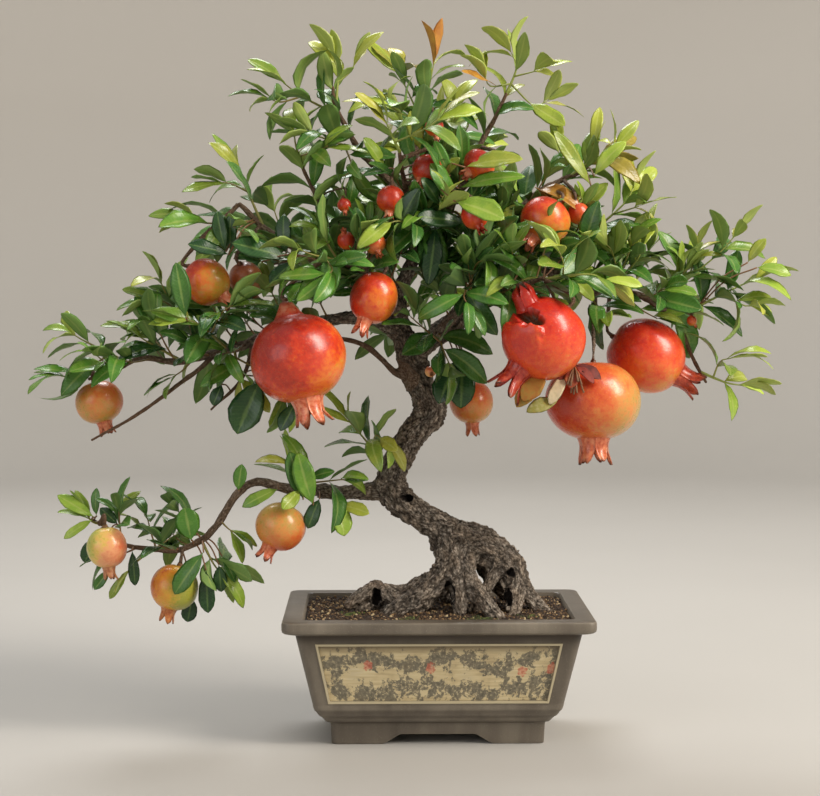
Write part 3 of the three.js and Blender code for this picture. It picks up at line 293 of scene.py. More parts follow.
def add_node(tree, kind, *values, output=0, stops=(), **named):
    """Adds a node with its settings and links, and returns one of its outputs, or all of them for None.

    A shader node goes without its prefix. The word after the kind is its operation, its type of data or the
    attribute that it reads. Values go to the inputs that the node shows, and values to spare go with the result
    to another such node. A name with a capital is an input and any other a setting. A ramp's stops are each a
    place and a hex colour or a grey.
    """
    sort, _, choice = kind.partition(" ")
    node = tree.nodes.new(sort if "Node" in sort else f"ShaderNode{sort}")
    if choice:
        setattr(node, next(key for key in ("attribute_name", "operation", "data_type") if hasattr(node, key)), choice)
    for name, value in named.items():
        if name[0].islower():
            setattr(node, name, value)
    shown = [socket for socket in node.inputs if socket.enabled]
    for socket, value in zip(shown, values):
        feed(socket, value)
    for name, value in named.items():
        if name[0].isupper():
            feed(node.inputs[name], value)
    while len(stops) > 2 and len(node.color_ramp.elements) < len(stops):
        node.color_ramp.elements.new(0.5)
    for number, (place, colour) in enumerate(stops):
        element = node.color_ramp.elements[number]
        element.position = place
        element.color = linear(colour) if isinstance(colour, str) else (colour, colour, colour, 1)
    result = node.outputs if output is None else node.outputs[output]
    if choice and output == 0:
        result = next(socket for socket in node.outputs if socket.enabled)
    spare = values[len(shown) :]
    return add_node(tree, kind, result, *spare, **named) if spare else result


def new_material(name):
    """A new material and the function that adds nodes to it."""
    material = bpy.data.materials.new(name)
    material.use_nodes = True
    return material, partial(add_node, material.node_tree)


def surfaced(material, **values):
    """Feeds a material's Principled surface and returns the material."""
    surface = material.node_tree.nodes["Principled BSDF"]
    for name, value in values.items():
        feed(surface.inputs[name.replace("_", " ")], value)
    return material


def geometry_tree(name, **inputs):
    """A geometry node tree with named inputs, each a size or seed with its usual value, or None for a material."""
    tree = bpy.data.node_groups.new(name, "GeometryNodeTree")
    sockets = tree.interface
    sockets.new_socket("Geometry", in_out="INPUT", socket_type="NodeSocketGeometry")
    for key, usual in inputs.items():
        sort = {float: "Float", int: "Int"}.get(type(usual), "Material")
        socket = sockets.new_socket(key.replace("_", " "), in_out="INPUT", socket_type=f"NodeSocket{sort}")
        if usual is not None:
            socket.default_value = usual
    sockets.new_socket("Geometry", in_out="OUTPUT", socket_type="NodeSocketGeometry")
    add = partial(add_node, tree)
    return tree, add, add("NodeGroupInput", output=None)


def with_nodes(piece, tree, **values):
    """Puts a geometry node tree on a piece and sets its named inputs by their identifiers."""
    modifier = piece.modifiers.new(tree.name, "NODES")
    modifier.node_group = tree
    for item in tree.interface.items_tree:
        key = item.name.replace(" ", "_").lower()
        if item.item_type == "SOCKET" and item.in_out == "INPUT" and key in values:
            modifier[item.identifier] = values[key]


def places_of(mesh):
    """The vertices of a mesh, in the tree's own millimetres."""
    places = np.empty(len(mesh.vertices) * 3)
    mesh.vertices.foreach_get("co", places)
    return places.reshape(-1, 3) / MM - TREE_SHIFT


def note(mesh, name, values):
    """Keeps a number, or a row of three, for each vertex."""
    values = np.asarray(values, np.float32)
    kind, key = ("FLOAT", "value") if values.ndim == 1 else ("FLOAT_VECTOR", "vector")
    mesh.attributes.new(name, kind, "POINT").data.foreach_set(key, values.ravel())


class Shape:
    """Faces gathered from several closed bodies, with one number per vertex for each named attribute."""

    def __init__(self):
        self.places = []
        self.faces = []
        self.numbers = {}
        self.count = 0

    def add(self, places, faces, **numbers):
        places = np.asarray(places, float)
        for name in set(self.numbers) | set(numbers):
            if name not in self.numbers:
                self.numbers[name] = [np.zeros(self.count)]
            value = numbers.get(name, 0.0)
            self.numbers[name].append(np.broadcast_to(np.asarray(value, float), (len(places),)).copy())
        self.faces += [tuple(i + self.count for i in face) for face in faces]
        self.places.append(places)
        self.count += len(places)
        return self

    def mesh(self, name):
        mesh = bpy.data.meshes.new(name)
        places = (np.concatenate(self.places) + TREE_SHIFT) * MM
        mesh.from_pydata(places.tolist(), [], self.faces)
        for key, parts in self.numbers.items():
            note(mesh, key, np.concatenate(parts))
        mesh.shade_smooth()
        return mesh


def new_object(name, mesh, *materials):
    piece = bpy.data.objects.new(name, mesh)
    scene.collection.objects.link(piece)
    for material in materials:
        piece.data.materials.append(material)
    return piece


def hand_over(piece, slot, *nodes):
    """Ties a finished piece to the body and hides the model's nodes that it stands for. The slot, which names its
    finish, is not used.
    """
    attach(piece, "root")
    if nodes:
        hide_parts(*nodes)


def baked(piece):
    """Turns an object with modifiers into one with a plain mesh of the same look."""
    depsgraph = bpy.context.evaluated_depsgraph_get()
    depsgraph.update()
    mesh = bpy.data.meshes.new_from_object(piece.evaluated_get(depsgraph))
    old = piece.data
    piece.modifiers.clear()
    piece.data = mesh
    bpy.data.meshes.remove(old)
    mesh.name = piece.name
    return piece


def length_of(vector):
    return float(np.linalg.norm(vector))


def unit(vector):
    vector = np.asarray(vector, float)
    return vector / max(np.linalg.norm(vector), 1e-9)


def turned(vector, axis, angle):
    """The vector turned about an axis, by the right-hand rule."""
    c, s = math.cos(angle), math.sin(angle)
    return vector * c + np.cross(axis, vector) * s + axis * np.dot(axis, vector) * (1 - c)


def chance(seed, index):
    """A number from 0 to 1 that depends only on the two whole numbers given."""
    n = ((seed + 1) * 0x9E3779B1 & 0xFFFFFFFF) ^ ((index + 1) * 0x85EBCA6B & 0xFFFFFFFF)
    n = (n ^ (n >> 15)) * 0x2C1B3C6D & 0xFFFFFFFF
    n = (n ^ (n >> 12)) * 0x297A2D39 & 0xFFFFFFFF
    return (n ^ (n >> 15)) / 4294967296


def curve_places(points, steps):
    """A smooth curve through the points at equal parameter steps, all columns carried along."""
    points = np.asarray(points, float)
    last = len(points) - 1
    before = np.vstack([2 * points[0] - points[1], points, 2 * points[-1] - points[-2]])
    t = np.linspace(0, last, steps)
    index = np.minimum(t.astype(int), last - 1)
    w = (t - index)[:, None]
    p0, p1, p2, p3 = (before[index + k] for k in range(4))
    v0, v1 = 0.5 * (p2 - p0), 0.5 * (p3 - p1)
    return p1 + v0 * w + (3 * (p2 - p1) - 2 * v0 - v1) * w**2 + (2 * (p1 - p2) + v0 + v1) * w**3


def spaced_curve(points, step):
    """The same curve at places about `step` mm apart. Returns places, radii and distance along."""
    fine = curve_places(points, 24 * len(points))
    spans = np.linalg.norm(np.diff(fine[:, :3], axis=0), axis=1)
    along = np.concatenate([[0], np.cumsum(spans)])
    count = max(3, int(round(along[-1] / step)) + 1)
    stations = np.linspace(0, along[-1], count)
    columns = [np.interp(stations, along, fine[:, k]) for k in range(fine.shape[1])]
    places = np.stack(columns[:3], axis=1)
    radii = np.maximum(columns[3], 0.5) if len(columns) > 3 else np.ones(count)
    return places, radii, stations


def frames_along(places):
    """Direction, side and other side at each place, carried along without twisting."""
    tangents = np.gradient(places, axis=0)
    tangents /= np.linalg.norm(tangents, axis=1)[:, None]
    helper = np.array([0, 1, 0]) if abs(tangents[0][1]) < 0.8 else np.array([1, 0, 0])
    side = unit(np.cross(tangents[0], helper))
    sides = []
    for tangent in tangents:
        side = unit(side - tangent * np.dot(side, tangent))
        sides.append(side)
    sides = np.array(sides)
    return tangents, sides, np.cross(tangents, sides)


def grid_faces(rows, columns, wrap):
    """Faces of a grid of rows, wrapped round from the last column to the first or left open."""
    faces = []
    for i in range(rows - 1):
        for k in range(columns if wrap else columns - 1):
            n = (k + 1) % columns
            faces.append((i * columns + k, i * columns + n, (i + 1) * columns + n, (i + 1) * columns + k))
    return faces


def closed_faces(rows, columns):
    """Faces of stacked rings, closed by the two points that follow them: below the first ring and past the last."""
    faces = grid_faces(rows, columns, True)
    first, last, base = rows * columns, rows * columns + 1, (rows - 1) * columns
    for k in range(columns):
        n = (k + 1) % columns
        faces += [(first, n, k), (last, base + k, base + n)]
    return faces


def stacked(rows):
    """Closes stacked rows of equal count into one body, with a point in the middle of each end."""
    places = np.vstack(rows + [rows[0].mean(axis=0), rows[-1].mean(axis=0)])
    return places, closed_faces(len(rows), len(rows[0]))


def tube(places, radii, sides):
    """A closed rod with rounded ends. The radii are one for all, one per place, or one per place and side."""
    tangents, normals, others = frames_along(places)
    angles = np.arange(sides) * 2 * math.pi / sides
    radii = np.asarray(radii, float)
    if radii.ndim < 2:
        radii = np.repeat(np.broadcast_to(radii, len(places))[:, None], sides, axis=1)
    ring = np.cos(angles)[None, :, None] * normals[:, None] + np.sin(angles)[None, :, None] * others[:, None]
    body = (places[:, None] + ring * radii[:, :, None]).reshape(-1, 3)
    start = places[0] - tangents[0] * radii[0].mean() * 0.6
    end = places[-1] + tangents[-1] * radii[-1].mean() * 0.6
    return np.vstack([body, start, end]), closed_faces(len(places), sides)


# ---------------------------------------------------------------- bark


def bark_material():
    """Rough old pomegranate bark: grey and ridged along the grain, with painted shade near black in its cracks and
    hollows. Thin wood is redder.
    """
    material, add = new_material("weathered_bark")
    # the grain is in millimetres across the wood, and drawn out along it
    grain = add("Attribute grain", output="Vector")
    crevice, girth, hollow = (add(f"Attribute {name}", output="Fac") for name in ("crevice", "girth", "hollow"))
    patches = add("TexNoise", grain, Scale=0.09, Detail=4.0)
    flakes = add("TexNoise", grain, Scale=0.55, Detail=6.0, Roughness=0.62)
    grit = add("TexVoronoi", grain, Scale=0.5)
    tone = add("Math ADD", add("Math MULTIPLY", flakes, 0.72), add("Math MULTIPLY_ADD", grit, -0.24, 0.24))
    old = add("ValToRGB", tone, stops=[(0.34, "37312a"), (0.46, "73695e"), (0.56, "9b9185"), (0.68, "cdc4b7")])
    warm = add("ValToRGB", tone, stops=[(0.34, "3d342b"), (0.47, "75685a"), (0.66, "ab9e8e")])
    old = add("Mix RGBA", add("ValToRGB", patches, stops=[(0.42, 0.0), (0.62, 1.0)]), old, warm)
    young = add("ValToRGB", flakes, stops=[(0.3, "4c3a2b"), (0.55, "705643"), (0.75, "8e765e")])
    thin = add("ValToRGB", add("Math DIVIDE", girth, 10.0), stops=[(0.2, 1.0), (0.7, 0.0)])
    wood = add("Mix RGBA", thin, old, young)
    # painted shade: cracks and hollows are painted near black, for the shade that falls in them
    wood = add("Mix RGBA", add("Math MAXIMUM", crevice, hollow), wood, "150f0a")
    height = add("Math ADD", flakes, add("Math MULTIPLY", grit, 0.35))
    bump = add("Bump", Height=height, Distance=0.002, Strength=0.9)
    return surfaced(material, Base_Color=wood, Roughness=0.88, Specular_IOR_Level=0.3, Normal=bump)


def bark_relief():
    """Geometry nodes that crack and roughen wood along its grain, and note how deep each place lies, as painted shade
    for its cracks.
    """
    tree, add, given = geometry_tree(
        "bark_relief", Ridge_width=8.0, Ridge_depth=0.0022, Lump_depth=0.0016, Pit_depth=0.0014, Material=None
    )
    grain = add("GeometryNodeInputNamedAttribute FLOAT_VECTOR", "grain")
    share = add("Math DIVIDE", add("GeometryNodeInputNamedAttribute FLOAT", "girth"), 14.0, use_clamp=True)
    ridges = add("TexNoise", grain, Scale=add("Math DIVIDE", 1.0, given["Ridge width"]), Detail=3.0, Distortion=0.4)
    folded = add("Math MULTIPLY", add("Math ABSOLUTE", add("Math SUBTRACT", ridges, 0.5)), 6.0, use_clamp=True)
    lumps = add("TexNoise", grain, Scale=0.045, Detail=2.0)
    pits = add("Math MULTIPLY", add("TexVoronoi", grain, Scale=0.24), given["Pit depth"])
    sunk = add("Math SUBTRACT", 1.0, folded)
    deep = add("Math MULTIPLY", add("Math POWER", sunk, 1.6), given["Ridge depth"])
    swell = add("Math MULTIPLY", add("Math SUBTRACT", lumps, 0.5), add("Math MULTIPLY", given["Lump depth"], 4.0))
    reach = add("Math MULTIPLY", add("Math SUBTRACT", swell, deep, pits), share)
    offset = add("VectorMath SCALE", add("GeometryNodeInputNormal"), reach)
    wood = add("GeometryNodeSetPosition", given["Geometry"], Offset=offset)
    # painted shade: the deeper a place lies between the ridges, the darker it is painted
    dark = add("Math MULTIPLY", add("Math POWER", sunk, 2.5), add("Math MULTIPLY", share, 0.9))
    wood = add("GeometryNodeStoreNamedAttribute FLOAT", wood, Name="crevice", Value=dark)
    wood = add("GeometryNodeRealizeInstances", wood)
    add("NodeGroupOutput", add("GeometryNodeSetMaterial", wood, Material=given["Material"]), output=None)
    return tree


# ---------------------------------------------------------------- wood

# How many points of a branch's line are old, fluted wood. The rest is smooth young wood.
OLD_WOOD = {
    "left": 7, "cascade": 4, "upper_left": 4, "leader": 5, "right": 7, "upper_right": 3, "front_left": 2,
    "front_right": 2, "back_left": 2, "back_right": 2, "back_low": 2, "left_thin": 2, "top_right": 2,
}
GRAIN_DRAWN_OUT = 1.5  # how far the pattern of the bark is stretched along the wood
GRAIN_GAP = 37  # between the grain of one limb and the next, so that no two look alike
LIMB_REACH = 0.8  # how much of its radius a limb counts for when a place looks for the limb it is on
# Old wood's core and the ridges of muscle round it, as shares of its radius: the core's, how far out the ridges
# run, and how thick they are.
CORE, RIDGES_OUT, RIDGES_THICK = 0.9, 0.66, 0.36
OLD_WOOD_GRID = 1.35  # the finest step of the skin that joins the old wood
LEAF_JOINTS = 17  # from one old leaf joint of a young branch to the next
LIP_AT, LIP_WIDTH, LIP_HEIGHT = 1.25, 0.25, 1.5  # the swollen edge of a hollow, in half widths, and in millimetres
# Hollows in the front of the old wood, painted dark inside as shade: x, z, half width, half height and depth.
HOLLOWS = [
    (-30, 238, 6.5, 2.8, 9), (72, 162, 4.2, 5.0, 7), (-60, 139, 4.5, 8.0, 8),
    (12, 144, 4.2, 13.0, 12), (68, 140, 5.0, 9.0, 9),
]
# Low humps of an old cut root beside the trunk, x, y, z and radius.
HUMPS = [
    [[-90, -24, 130, 5], [-78, -20, 139, 8], [-66, -16, 147, 7], [-63, -14, 151, 4]],
    [[-53, -12, 149, 5], [-46, -18, 140, 8], [-35, -24, 131, 7]],
    [[-42, -10, 144, 6], [-32, -12, 142, 8], [-19, -14, 137, 9]],
    [[8, 4, 132, 10], [14, 10, 143, 9], [19, 10, 156, 8]],
]
STALK_RADIUS = 2.0
STALK_CLEARANCE = 1.0


def skeleton():
    """Samples of every centre line: place, radius, and the frame along it, for distances along the grain."""
    samples = []
    offset = 0.0
    for points in [TRUNK, *ROOTS, *BRANCHES.values(), *HUMPS]:
        line, radius, along = spaced_curve(points, 3)
        tangent, side, other = frames_along(line)
        samples.append((line, radius, along + offset, side, other, tangent))
        offset += along[-1] + GRAIN_GAP
    return [np.concatenate(part) for part in zip(*samples)]


SKELETON, SKELETON_RADII, SKELETON_ALONG, SKELETON_SIDES, SKELETON_OTHERS, SKELETON_TANGENTS = skeleton()
skeleton_tree = KDTree(len(SKELETON))
for number, sample in enumerate(SKELETON):
    skeleton_tree.insert(sample, number)
skeleton_tree.balance()


def strands(points, step, seed):
    """Old wood as a core with ridges of muscle that wind round it, each a rod of its own."""
    line, radii, along = spaced_curve(points, step)
    _, sides, others = frames_along(line)
    grown = [tube(line, CORE * radii, 20)]
    thick = radii.mean()
    count = 7 if thick > 13 else 5 if thick > 8 else 4
    for strand in range(count):
        start = 2 * math.pi * (strand + 0.6 * chance(seed, strand)) / count
        twist = (0.010 + 0.012 * chance(seed, strand + 20)) * (1 if chance(seed, 99) > 0.3 else -1)
        wave = 0.35 * np.sin(along * (0.05 + 0.05 * chance(seed, strand + 40)) + 6 * chance(seed, strand + 60))
        angle = start + twist * along + wave
        swell = 1 + 0.22 * np.sin(along * (0.07 + 0.06 * chance(seed, strand + 80)) + 9 * chance(seed, strand + 100))
        depth = RIDGES_OUT * radii
        middle = line + depth[:, None] * (np.cos(angle)[:, None] * sides + np.sin(angle)[:, None] * others)
        grown.append(tube(middle, RIDGES_THICK * radii * swell, 12))
    return grown


def grain_attributes(piece):
    """Gives each vertex its place in the grain of the nearest limb, in millimetres, and the limb's radius."""
    places = places_of(piece.data)
    nearest = np.empty(len(places), int)
    for i, place in enumerate(places):
        found = skeleton_tree.find_n(place, 4)
        nearest[i] = min(found, key=lambda hit: hit[2] - LIMB_REACH * SKELETON_RADII[hit[1]])[1]
    away = places - SKELETON[nearest]
    across, other, ahead = (
        np.einsum("ij,ij->i", away, ways[nearest]) for ways in (SKELETON_SIDES, SKELETON_OTHERS, SKELETON_TANGENTS)
    )
    along = (SKELETON_ALONG[nearest] + ahead) / GRAIN_DRAWN_OUT
    note(piece.data, "grain", np.stack([across, other, along], axis=1))
    note(piece.data, "girth", SKELETON_RADII[nearest])


def press_hollows(mesh):
    """Sinks the hollows into the front of the wood, each with a swollen lip, and notes how deep they are, for the
    painted shade inside them.
    """
    places = np.empty(len(mesh.vertices) * 3)
    mesh.vertices.foreach_get("co", places)
    places = places.reshape(-1, 3)
    dark = np.zeros(len(places))
    for x, z, wide, high, depth in HOLLOWS:
        away = places / MM - TREE_SHIFT - [x, 0, z]
        front = away[(np.abs(away[:, 0]) < 2) & (np.abs(away[:, 2]) < 2), 1].min()
        ragged = np.array([noise.noise(Vector((0.22 * px, 0.22 * pz, x))) for px, _, pz in away])
        gap = np.hypot(away[:, 0] / wide, away[:, 2] / high) + 0.6 * np.clip((away[:, 1] - front - 9) / 8, 0, 2)
        gap += 0.5 * ragged
        sunk = np.clip(1 - gap**2, 0, 1)
        lip = np.exp(-(((gap - LIP_AT) / LIP_WIDTH) ** 2))
        places[:, 1] += (depth * sunk - LIP_HEIGHT * lip) * MM
        # painted shade: the sunk middle of each hollow is painted dark
        dark = np.maximum(dark, np.clip(sunk * 2.5, 0, 1))
    mesh.vertices.foreach_set("co", places.ravel())
    note(mesh, "hollow", dark)


def merged_limbs(name, limbs, voxel):
    """Joins rods into one skin, rounded together where they meet."""
    shape = Shape()
    for places, faces in limbs:
        shape.add(places, faces)
    piece = new_object(name, shape.mesh(name))
    skin = piece.modifiers.new("skin", "REMESH")
    skin.mode = "VOXEL"
    skin.voxel_size = voxel * MM
    smooth = piece.modifiers.new("smooth", "SMOOTH")
    smooth.iterations = 2
    smooth.factor = 0.5
    baked(piece)
    piece.data.shade_smooth()
    return piece


def knobbly(points, step, sides, seed, knob=0.12):
    """A young branch: round, with a swelling at each old leaf joint."""
    line, radii, along = spaced_curve(points, step)
    joints = np.abs(np.sin(along * math.pi / LEAF_JOINTS + 6 * chance(seed, 1)))
    angles = np.arange(sides) * 2 * math.pi / sides
    lumps = np.sin(angles[None, :] * 2 + along[:, None] * 0.21 + seed) * 0.06
    radii = radii * (1 + knob * (1 - joints) ** 3)
    sway = [np.sin(along * 0.11 + seed), np.cos(along * 0.13 + 2 * seed), np.sin(along * 0.09 + 3 * seed)]
    line = line + 0.25 * radii[:, None] * np.stack(sway, axis=1)
    return tube(line, radii[:, None] * (1 + lumps), sides)


def fruit_twig_line(fruit):
    """From the nearest wood, over, and down into the top of the fruit."""
    away, radius = -unit(fruit["crown"]), STALK_RADIUS * min(1, fruit["r"] / 12)
    top = np.array(fruit["at"], float) + away * (fruit["h"] + fruit.get("neck", 0) + STALK_CLEARANCE)
    above = top + away * 5 + [0, 0, 5]
    start = SKELETON[skeleton_tree.find(above)[1]]
    return [[*start, 1.3 * radius], [*above, radius], [*(top - away * 3), radius * 1.15]]


weathered_bark = bark_material()
relief = bark_relief()

limbs = strands(TRUNK, 4, 1)
for order, points in enumerate(ROOTS):
    limbs += strands(points, 4, 11 + order)
for order, points in enumerate(HUMPS):
    limbs += strands(points, 3, 61 + order)
for order, (name, old) in enumerate(OLD_WOOD.items()):
    limbs += strands(BRANCHES[name][:old], 4, 31 + order)
trunk = merged_limbs("old_wood", limbs, OLD_WOOD_GRID)
press_hollows(trunk.data)
grain_attributes(trunk)
with_nodes(
    trunk, relief, ridge_width=8.0, ridge_depth=0.0028, lump_depth=0.0018, pit_depth=0.0017, material=weathered_bark
)
baked(trunk)
hand_over(trunk, "bark", "trunk")

shape = Shape()
for order, (name, points) in enumerate(BRANCHES.items()):
    old = OLD_WOOD.get(name, 0)
    rest = points[max(old - 2, 0) :]
    if len(rest) > 1:
        shape.add(*knobbly(rest, 4, 12, order))
for order, fruit in enumerate([*FRUITS.values(), *SMALL_FRUITS.values()]):
    shape.add(*knobbly(fruit_twig_line(fruit), 3, 8, 50 + order, 0.2))
twigs = new_object("young_wood", shape.mesh("young_wood"))
grain_attributes(twigs)
with_nodes(twigs, relief, ridge_width=5.0, ridge_depth=0.0016, lump_depth=0.001, material=weathered_bark)
baked(twigs)
hand_over(twigs, "bark", "trunk")


# ---------------------------------------------------------------- leaves


def leaf_material():
    """Pomegranate leaf: thin, glossy and dark above with a pale midrib, duller below, yellow-green when young."""
    material, add = new_material("glossy_leaf")
    names = ("youth", "tint", "across", "along", "top", "autumn")
    age, tint, across, along, top, autumn = (add(f"Attribute {name}", output="Fac") for name in names)
    # cloudy differences about 12 mm wide, so that no leaf is one even green
    cloud = add("TexNoise", add("TexCoord", output="Object"), Scale=80.0, Detail=3.0)
    # youth holds the leaf's age and also the painted light and shade of where its shoot stands
    youth = add("Math ADD", age, add("Math MULTIPLY", add("Math SUBTRACT", cloud, 0.5), 0.35), use_clamp=True)
    greens = [(0.0, "17381d"), (0.25, "2a5623"), (0.5, "4b7f2b"), (0.75, "7fa336"), (1.0, "a6bd48")]
    dusky = add("ValToRGB", youth, stops=[(0.0, "1f4024"), (0.5, "4c7b2c"), (1.0, "aaa540")])
    upper = add("Mix RGBA", tint, add("ValToRGB", youth, stops=greens), dusky)
    lower = add("ValToRGB", youth, stops=[(0.0, "46663c"), (0.5, "6c8c46"), (1.0, "9cac56")])
    width = add("Math ABSOLUTE", across)
    rib = add("Math MULTIPLY", add("ValToRGB", width, stops=[(0.05, 1.0), (0.17, 0.0)]), 0.42)
    pale = add("ValToRGB", youth, stops=[(0.0, "6f8f4c"), (1.0, "c0c870")])
    # side veins leave the midrib every few millimetres and lean to the tip
    lean = add("Math SUBTRACT", add("Math MULTIPLY", along, 62.0), add("Math MULTIPLY", width, 7.0))
    vein = add("Math POWER", add("Math ABSOLUTE", add("Math SINE", lean)), 8.0)
    below = add("ValToRGB", add("Math MULTIPLY_ADD", top, 0.5, 0.5), stops=[(0.3, 1.0), (0.5, 0.0)])
    blade = add("Mix RGBA", below, upper, lower)
    blade = add("Mix RGBA", add("Math MULTIPLY", vein, 0.07), blade, pale)
    blade = add("Mix RGBA", rib, blade, pale)
    ochre = add("ValToRGB", cloud, stops=[(0.3, "a5532a"), (0.6, "c98736"), (0.8, "c9a948")])
    blade = add("Mix RGBA", autumn, blade, ochre)
    rough = add("Math ADD", add("Math MULTIPLY", below, 0.25), add("Math MULTIPLY_ADD", cloud, 0.2, 0.17))
    height = add("Math SUBTRACT", add("Math MULTIPLY", vein, 0.14), rib)
    bump = add("Bump", Height=height, Distance=0.0005, Strength=0.5)
    return surfaced(material, Base_Color=blade, Roughness=rough, IOR=1.45, Normal=bump)


def shoot_bark_material():
    """Skin of a green shoot: smooth, red-brown where it is older and olive at its growing end."""
    material, add = new_material("shoot_skin")
    cloud = add("TexNoise", add("TexCoord", output="Object"), Scale=160.0)
    uneven = add("Math MULTIPLY_ADD", cloud, 0.4, -0.2)
    youth = add("Math ADD", add("Attribute youth", output="Fac"), uneven, use_clamp=True)
    skin = add("ValToRGB", youth, stops=[(0.0, "5d4233"), (0.45, "7f5a3a"), (0.75, "86803f"), (1.0, "93a04c")])
    return surfaced(material, Base_Color=skin, Roughness=0.5)


# At equal steps along the mesh of a leaf from foot to tip: the blade's width, and how far along the leaf it is.
LEAF_WIDTHS = (0.0, 0.1, 0.52, 0.84, 0.99, 0.98, 0.74, 0.34, 0.0)
LEAF_STATIONS = (0.0, 0.07, 0.2, 0.35, 0.52, 0.69, 0.84, 0.95, 1.0)


def leafy_shoot():
    """Geometry nodes that set a folded, arched leaf at every leaf foot, beside the stems."""
    tree, add, given = geometry_tree("leafy_shoot", Blade_thickness=0.0005, Leaf=None, Stem=None)
    numbers = ("is_leaf", "along", "across", "top", "size", "breadth", "arch", "fold", "sickle", "roll", "tint")
    is_leaf, along, across, top, size, breadth, arch, fold, sickle, roll, tint = (
        add("GeometryNodeInputNamedAttribute FLOAT", name) for name in numbers
    )
    heading, face, foot = (
        add("GeometryNodeInputNamedAttribute FLOAT_VECTOR", name) for name in ("heading", "face", "foot_at")
    )
    place = add("GeometryNodeInputPosition")

    # a ball, pressed flat later: its rings lie along the leaf and its two halves are the sides of the blade
    ball = add("GeometryNodeMeshUVSphere", Segments=8, Rings=8, Radius=1.0)
    x, y, z = add("SeparateXYZ", place, output=None)
    ring = add("Math SQRT", add("Math SUBTRACT", 1.0, add("Math MULTIPLY", z, z), use_clamp=True))
    latitude = add("Math DIVIDE", add("Math ARCCOSINE", z), math.pi)
    sideways, upward = add("Math DIVIDE", x, ring), add("Math DIVIDE", y, ring)
    for name, value in (("along", latitude), ("across", sideways), ("top", upward)):
        ball = add("GeometryNodeStoreNamedAttribute FLOAT", ball, Name=name, Value=value)

    chosen = add("Math GREATER_THAN", is_leaf, 0.5)
    feet, stems = add(
        "GeometryNodeSeparateGeometry", given["Geometry"], Selection=chosen, domain="POINT", output=None
    )
    feet = add("GeometryNodeStoreNamedAttribute FLOAT_VECTOR", feet, Name="foot_at", Value=place)
    leaves = add("GeometryNodeRealizeInstances", add("GeometryNodeInstanceOnPoints", feet, Instance=ball))

    curves = [add("FloatCurve", Value=along) for _ in range(2)]
    for curve, heights in zip(curves, (LEAF_STATIONS, LEAF_WIDTHS)):
        mapping = curve.node.mapping
        while len(mapping.curves[0].points) < len(heights):
            mapping.curves[0].points.new(0.5, 0.5)
        for number, (point, height) in enumerate(zip(mapping.curves[0].points, heights)):
            point.location = (number / (len(heights) - 1), height)
        mapping.update()
    s, wide = curves
    half = add("Math MULTIPLY", wide, breadth, size, 0.5)
    s2 = add("Math MULTIPLY", s, s)
    shrink = add("Math MULTIPLY", arch, arch, 0.66)
    drawn_back = add("Math MULTIPLY", shrink, add("Math MULTIPLY", s2, s))
    ahead = add("Math MULTIPLY", size, add("Math SUBTRACT", s, drawn_back))
    sideways = add("Math MULTIPLY_ADD", across, half, add("Math MULTIPLY", sickle, s2, size))
    drop = add("Math MULTIPLY", arch, s2, size)
    folded = add("Math MULTIPLY", fold, add("Math ABSOLUTE", across), half)
    rolled = add("Math MULTIPLY", roll, s, across, half)
    waves = add("Math SINE", add("Math MULTIPLY_ADD", s, 11.0, add("Math MULTIPLY", tint, 40.0)))
    ripple = add("Math MULTIPLY", add("Math MULTIPLY", waves, across), add("Math MULTIPLY", half, 0.14))
    skin = add("Math MULTIPLY", top, given["Blade thickness"], 0.5)
    lift = add("Math ADD", add("Math SUBTRACT", folded, drop), add("Math ADD", rolled, ripple, skin))
    at = foot
    side = add("VectorMath CROSS_PRODUCT", heading, face)
    for way, length in ((heading, ahead), (side, sideways), (face, lift)):
        at = add("VectorMath ADD", at, add("VectorMath SCALE", way, length))
    leaves = add("GeometryNodeSetPosition", leaves, Position=at)
    # both sides of a blade are split along the same diagonals, so that neither shows through the other
    leaves = add("GeometryNodeTriangulate", leaves)
    leaves = add("GeometryNodeSetMaterial", leaves, Material=given["Leaf"])
    joined = add("GeometryNodeJoinGeometry", add("GeometryNodeSetMaterial", stems, Material=given["Stem"]))
    feed(joined.node.inputs[0], leaves)
    add("NodeGroupOutput", joined, output=None)
    return tree


# ---------------------------------------------------------------- where leaves stand

SPIN_DRAW, FACING_DRAW, LENGTH_DRAW = 77, 500, 900
LEAF_LENGTH = 49.0
LEAF_REACH = 28  # a stem stops this far short of its tip, which its end leaf reaches
INNER_STEM_RADIUS = 1.1
FORK_PLACES = (0.34, 0.5, 0.66, 0.82)
STEM_BASE_RADIUS = 1.7
FORK_BASE_RADIUS = 1.1
STEM_TIP_RADIUS = 0.55
BACK_LIMIT = 190.0  # how far back the leaves may reach
INNER_SPREAD = 1.15  # how much further apart inner shoots stand than their table says
# Painted light and shade: leaves high up or to the right are painted paler, as if lit, and leaves to the left or deep
# inside are painted darker, by adding to their youth.
SUNNY_HEIGHT, SUNNY_SIDE, SUNNY_BAND = 470, 150, 120  # above or right of these, leaves pale over the band's width
SUNNY, SHADY, DEEP_SHADE = 0.22, -0.16, -0.36  # what the light of its place adds to a leaf's youth
LEAF_TRIES = [(0, 0), (24, 0), (-24, 0), (0, 35), (0, -35), (40, 20), (-40, -20), (60, 0)]

